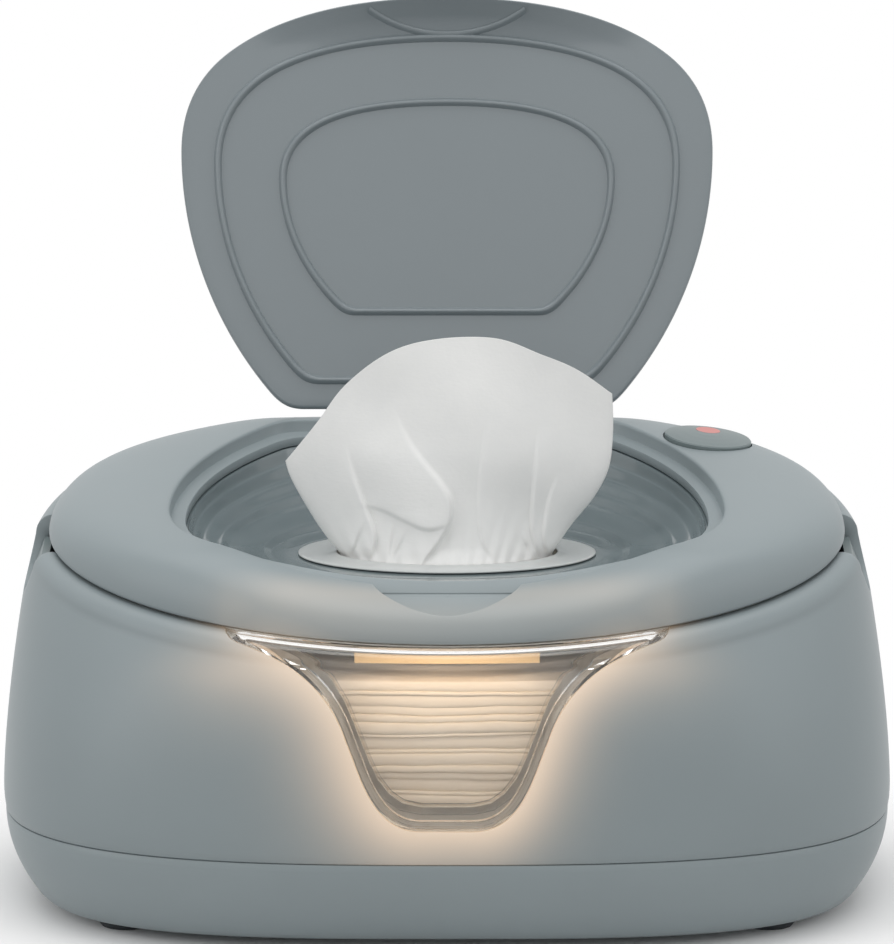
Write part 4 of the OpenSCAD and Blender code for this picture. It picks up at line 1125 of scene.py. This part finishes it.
# Folds in the front view, each a line in X and Z from its faint end to its deep end. One side of the line
# lies over the other: its lift, the drop beyond the line, the width of both, and the side that lies over
folds = [
    dict(line=[(-28.5, 128), (-26.6, 120), (-23.2, 111), (-20.2, 102.8), (-21.5, 95)], lift=0.8, drop=1.4, wide=9, over=-1),
    dict(line=[(-16, 138), (-10, 126.5), (-2.5, 117.5), (0.8, 112), (-0.6, 104.5), (-8, 94.6)], lift=0.9, drop=1.3, wide=13, over=-1),
    dict(line=[(25.8, 134), (24.4, 118), (23.6, 104), (26, 95.4)], lift=0.8, drop=0.6, wide=7, over=1),
    dict(line=[(32, 121), (28.4, 112), (26.9, 102.2), (28, 96)], lift=0.6, drop=0.6, wide=8, over=1),
    dict(line=[(12, 140), (9.2, 116), (9.7, 102.3), (14, 95.4)], lift=0.5, drop=0.25, wide=10, over=1),
    dict(line=[(-25, 110.5), (-18, 109.6), (-11, 107), (-5, 105.2), (2, 107)], lift=0.55, drop=0.35, wide=4, over=1, ends=True),
    dict(line=[(-23, 107), (-26.8, 96)], lift=0.4, drop=0.6, wide=2, over=-1),
    dict(line=[(-14.6, 107.5), (-16.6, 95.2)], lift=0.4, drop=0.7, wide=2, over=-1),
    dict(line=[(-11.2, 105.4), (-16, 94.6)], lift=0.4, drop=0.7, wide=2, over=-1),
    dict(line=[(20.6, 103.5), (23.8, 96)], lift=0.4, drop=0.6, wide=2, over=1),
]
gathers = dict(count=15, high=0.22, reach=6)


def alongLine(points, k):  # points through a few given ones, for an array of shares
    points = np.array(points, float)
    last = len(points) - 1
    at = np.clip(k, 0, 1) * last
    i = np.minimum(at.astype(int), last - 1)
    f = (at - i)[..., None]
    a, b, c, d = (points[np.clip(i + step, 0, last)] for step in (-1, 0, 1, 2))
    return 0.5 * (2 * b + (c - a) * f + (2 * a - 5 * b + 4 * c - d) * f * f + (3 * b - a - 3 * c + d) * f ** 3)


def smoothArray(v):
    v = np.clip(v, 0, 1)
    return v * v * (3 - 2 * v)


def foldHeight(x, z):
    total = np.zeros_like(x)
    for fold in folds:
        line = alongLine(fold["line"], np.linspace(0, 1, 25))
        nearest = np.full_like(x, 1e9)
        away = np.zeros_like(x)
        for (ax, az), (bx, bz) in zip(line, line[1:]):
            length = np.hypot(bx - ax, bz - az)
            dx, dz = (bx - ax) / length, (bz - az) / length
            k = np.clip((x - ax) * dx + (z - az) * dz, 0, length)
            gap = np.hypot(x - ax - k * dx, z - az - k * dz)
            side = np.where(dx * (z - az) - dz * (x - ax) > 0, 1, -1)
            closer = gap < nearest
            nearest = np.where(closer, gap, nearest)
            away = np.where(closer, gap * side * fold["over"], away)
        if "ends" in fold:
            low, high = line[:, 0].min(), line[:, 0].max()
            fade = smoothArray((x - low) / 7) * smoothArray((high - x) / 7)
        else:
            low, high = line[:, 1].min(), line[:, 1].max()
            fade = smoothArray((high - z) / (0.65 * (high - low)))
        raised = fold["lift"] * np.exp(-((nearest / fold["wide"]) ** 2))
        sunk = -fold["drop"] * np.exp(-((nearest / fold["wide"]) ** 2))
        total += fade * (sunk + (raised - sunk) * smoothArray((away + 1.1) / 1.5))
    return total


def makeWipe():
    w = wipe
    rows, columns = 220, 290
    v, u = np.meshgrid(np.linspace(0, 1, rows), np.linspace(0, 1, columns), indexing="ij")
    k = np.clip((v - 0.08) / 0.92, 0, 1) ** 0.95
    end = w["footHalf"] - 0.6
    top, left, right = alongLine(w["top"], u), alongLine(w["left"], k), alongLine(w["right"], k)
    uu, kk = u[..., None], k[..., None]
    foot = np.stack([-w["footHalf"] + (end + w["footHalf"]) * u, np.full_like(u, w["neckZ"])], -1)
    low = np.array(w["left"][0]) * (1 - uu) + np.array(w["right"][0]) * uu
    high = np.array(w["left"][-1]) * (1 - uu) + np.array(w["right"][-1]) * uu
    place = foot * (1 - kk) + top * kk + left * (1 - uu) + right * uu - low * (1 - kk) - high * kk
    x, z = place[..., 0], place[..., 1]
    hidden = np.clip(1 - v / 0.08, 0, 1)
    z = z - hidden * (w["neckZ"] - w["footZ"])
    rise = np.maximum(0, z - w["neckZ"])
    forward = w["bow"] * np.maximum(0, 1 - (2 * u - 1) ** 2) ** 0.6 * (1 - k ** 0.8) ** 1.2
    belly = w["belly"] * np.sin(pi * u) * smoothArray(rise / 30)
    soft = 0.8 * np.sin(x * 0.11 + z * 0.05) * np.sin(z * 0.1 + 0.6) * smoothArray(rise / 20)
    back = w["lean"] * (rise / 60) ** 1.3
    crease = foldHeight(x, z) * (0.35 + 0.65 * smoothArray(rise / 4)) * (1 - hidden)
    ripple = gathers["high"] * np.sin(u * gathers["count"] * 2 * pi + 2 * np.sin(u * 9)) * np.exp(-rise / gathers["reach"])
    y = w["slotY"] - forward - belly - soft - crease + ripple + back
    piece = addMesh("pulledWipe", np.stack([x, y, z], -1).reshape(-1, 3).tolist(), gridFaces(rows, columns, False))
    smoothShade(piece, 0)
    thickness = piece.modifiers.new("thickness", "SOLIDIFY")
    thickness.thickness = w["thick"] * mm
    thickness.offset = 0
    return piece


pulledWipe = makeWipe()
applyModifiers(pulledWipe)
finishPiece(pulledWipe, "cover", materials["wipe"], "wipe", "wipe_sheet")
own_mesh(pulledWipe)


# ---- floor and light ----

studio = dict(
    floorSize=6, floorColour=(0.9, 0.9, 0.9), floorKept=(0.1, 0.21), worldStrength=0.5,
    lamps=[
        dict(name="overhead", place=(0, 0.1, 1.5), aim=(0, 0, 0.1), size=(1.8, 1.2), power=12),
        dict(name="front", place=(0, -2.3, 1.1), aim=(0, 0, 0.1), size=(2.2, 1.2), power=8),
        dict(name="left", place=(-1.5, -0.7, 0.8), aim=(0, 0, 0.1), size=(0.8, 1.2), power=5.2),
        dict(name="right", place=(1.5, -0.6, 0.8), aim=(0, 0, 0.1), size=(0.8, 1.2), power=3.4),
    ],
)


def makeFloor():  # pale near the warmer, so that it takes the shadow, and open to the white further out
    half = studio["floorSize"] / 2 * 1000
    floor = addMesh("floor", [(-half, -half, 0), (half, -half, 0), (half, half, 0), (-half, half, 0)], [(0, 1, 2, 3)])
    material = bpy.data.materials.new("studio.floor")
    material.use_nodes = True
    tree = material.node_tree
    shader = tree.nodes["Principled BSDF"]
    shader.inputs["Base Color"].default_value = (*studio["floorColour"], 1)
    shader.inputs["Roughness"].default_value = 0.9
    shader.inputs["Specular IOR Level"].default_value = 0.1
    place = tree.nodes.new("ShaderNodeTexCoord").outputs["Object"]
    stretch = tree.nodes.new("ShaderNodeMapping")
    stretch.inputs["Scale"].default_value = (1, 1.25, 0)
    tree.links.new(place, stretch.inputs["Vector"])
    length = tree.nodes.new("ShaderNodeVectorMath")
    length.operation = "LENGTH"
    tree.links.new(stretch.outputs[0], length.inputs[0])
    fade = tree.nodes.new("ShaderNodeMapRange")
    fade.interpolation_type = "SMOOTHSTEP"
    fade.inputs["From Min"].default_value, fade.inputs["From Max"].default_value = studio["floorKept"]
    fade.inputs["To Min"].default_value, fade.inputs["To Max"].default_value = 1, 0
    tree.links.new(length.outputs["Value"], fade.inputs["Value"])
    tree.links.new(fade.outputs[0], shader.inputs["Alpha"])
    floor.data.materials.append(material)


def makeWorld():
    world = bpy.data.worlds.new("studio")
    world.use_nodes = True
    tree = world.node_tree
    background = tree.nodes["Background"]
    path = tree.nodes.new("ShaderNodeLightPath")
    seen = mathNode(tree, "MAXIMUM", path.outputs["Is Camera Ray"], path.outputs["Is Glossy Ray"])
    seen = mathNode(tree, "MAXIMUM", seen, path.outputs["Is Transmission Ray"])
    strength = rangeNode(tree, seen, studio["worldStrength"], 1)
    background.inputs["Color"].default_value = (1, 1, 1, 1)
    tree.links.new(strength, background.inputs["Strength"])
    bpy.context.scene.world = world


def makeLamps():
    for lamp in studio["lamps"]:
        data = bpy.data.lights.new(lamp["name"], "AREA")
        data.shape = "RECTANGLE"
        data.size, data.size_y = lamp["size"]
        data.energy = lamp["power"]
        holder = bpy.data.objects.new(lamp["name"], data)
        holder.location = lamp["place"]
        aim = Vector(lamp["aim"]) - Vector(lamp["place"])
        holder.rotation_euler = aim.to_track_quat("-Z", "Y").to_euler()
        bpy.context.scene.collection.objects.link(holder)


def makeNightLamp():  # what the light guide throws down on the wipes
    data = bpy.data.lights.new("nightLamp", "AREA")
    data.shape = "RECTANGLE"
    data.size, data.size_y = nightLamp["size"]
    data.energy = nightLamp["power"]
    data.color = nightLamp["colour"]
    holder = bpy.data.objects.new("nightLamp", data)
    holder.location = nightLamp["place"]
    holder.rotation_euler = (radians(nightLamp["turn"]), 0, 0)
    holder.visible_camera = False
    holder.visible_transmission = False
    holder.visible_glossy = False
    bpy.context.scene.collection.objects.link(holder)


nightLamp = dict(place=(0, -0.0735, 0.0785), size=(0.05, 0.006), power=0.0035, colour=(1, 0.8, 0.6), turn=38)
makeFloor()
makeWorld()
makeLamps()
makeNightLamp()
bpy.context.scene.view_settings.view_transform = "Standard"
print("stage: floor, world and lamps")
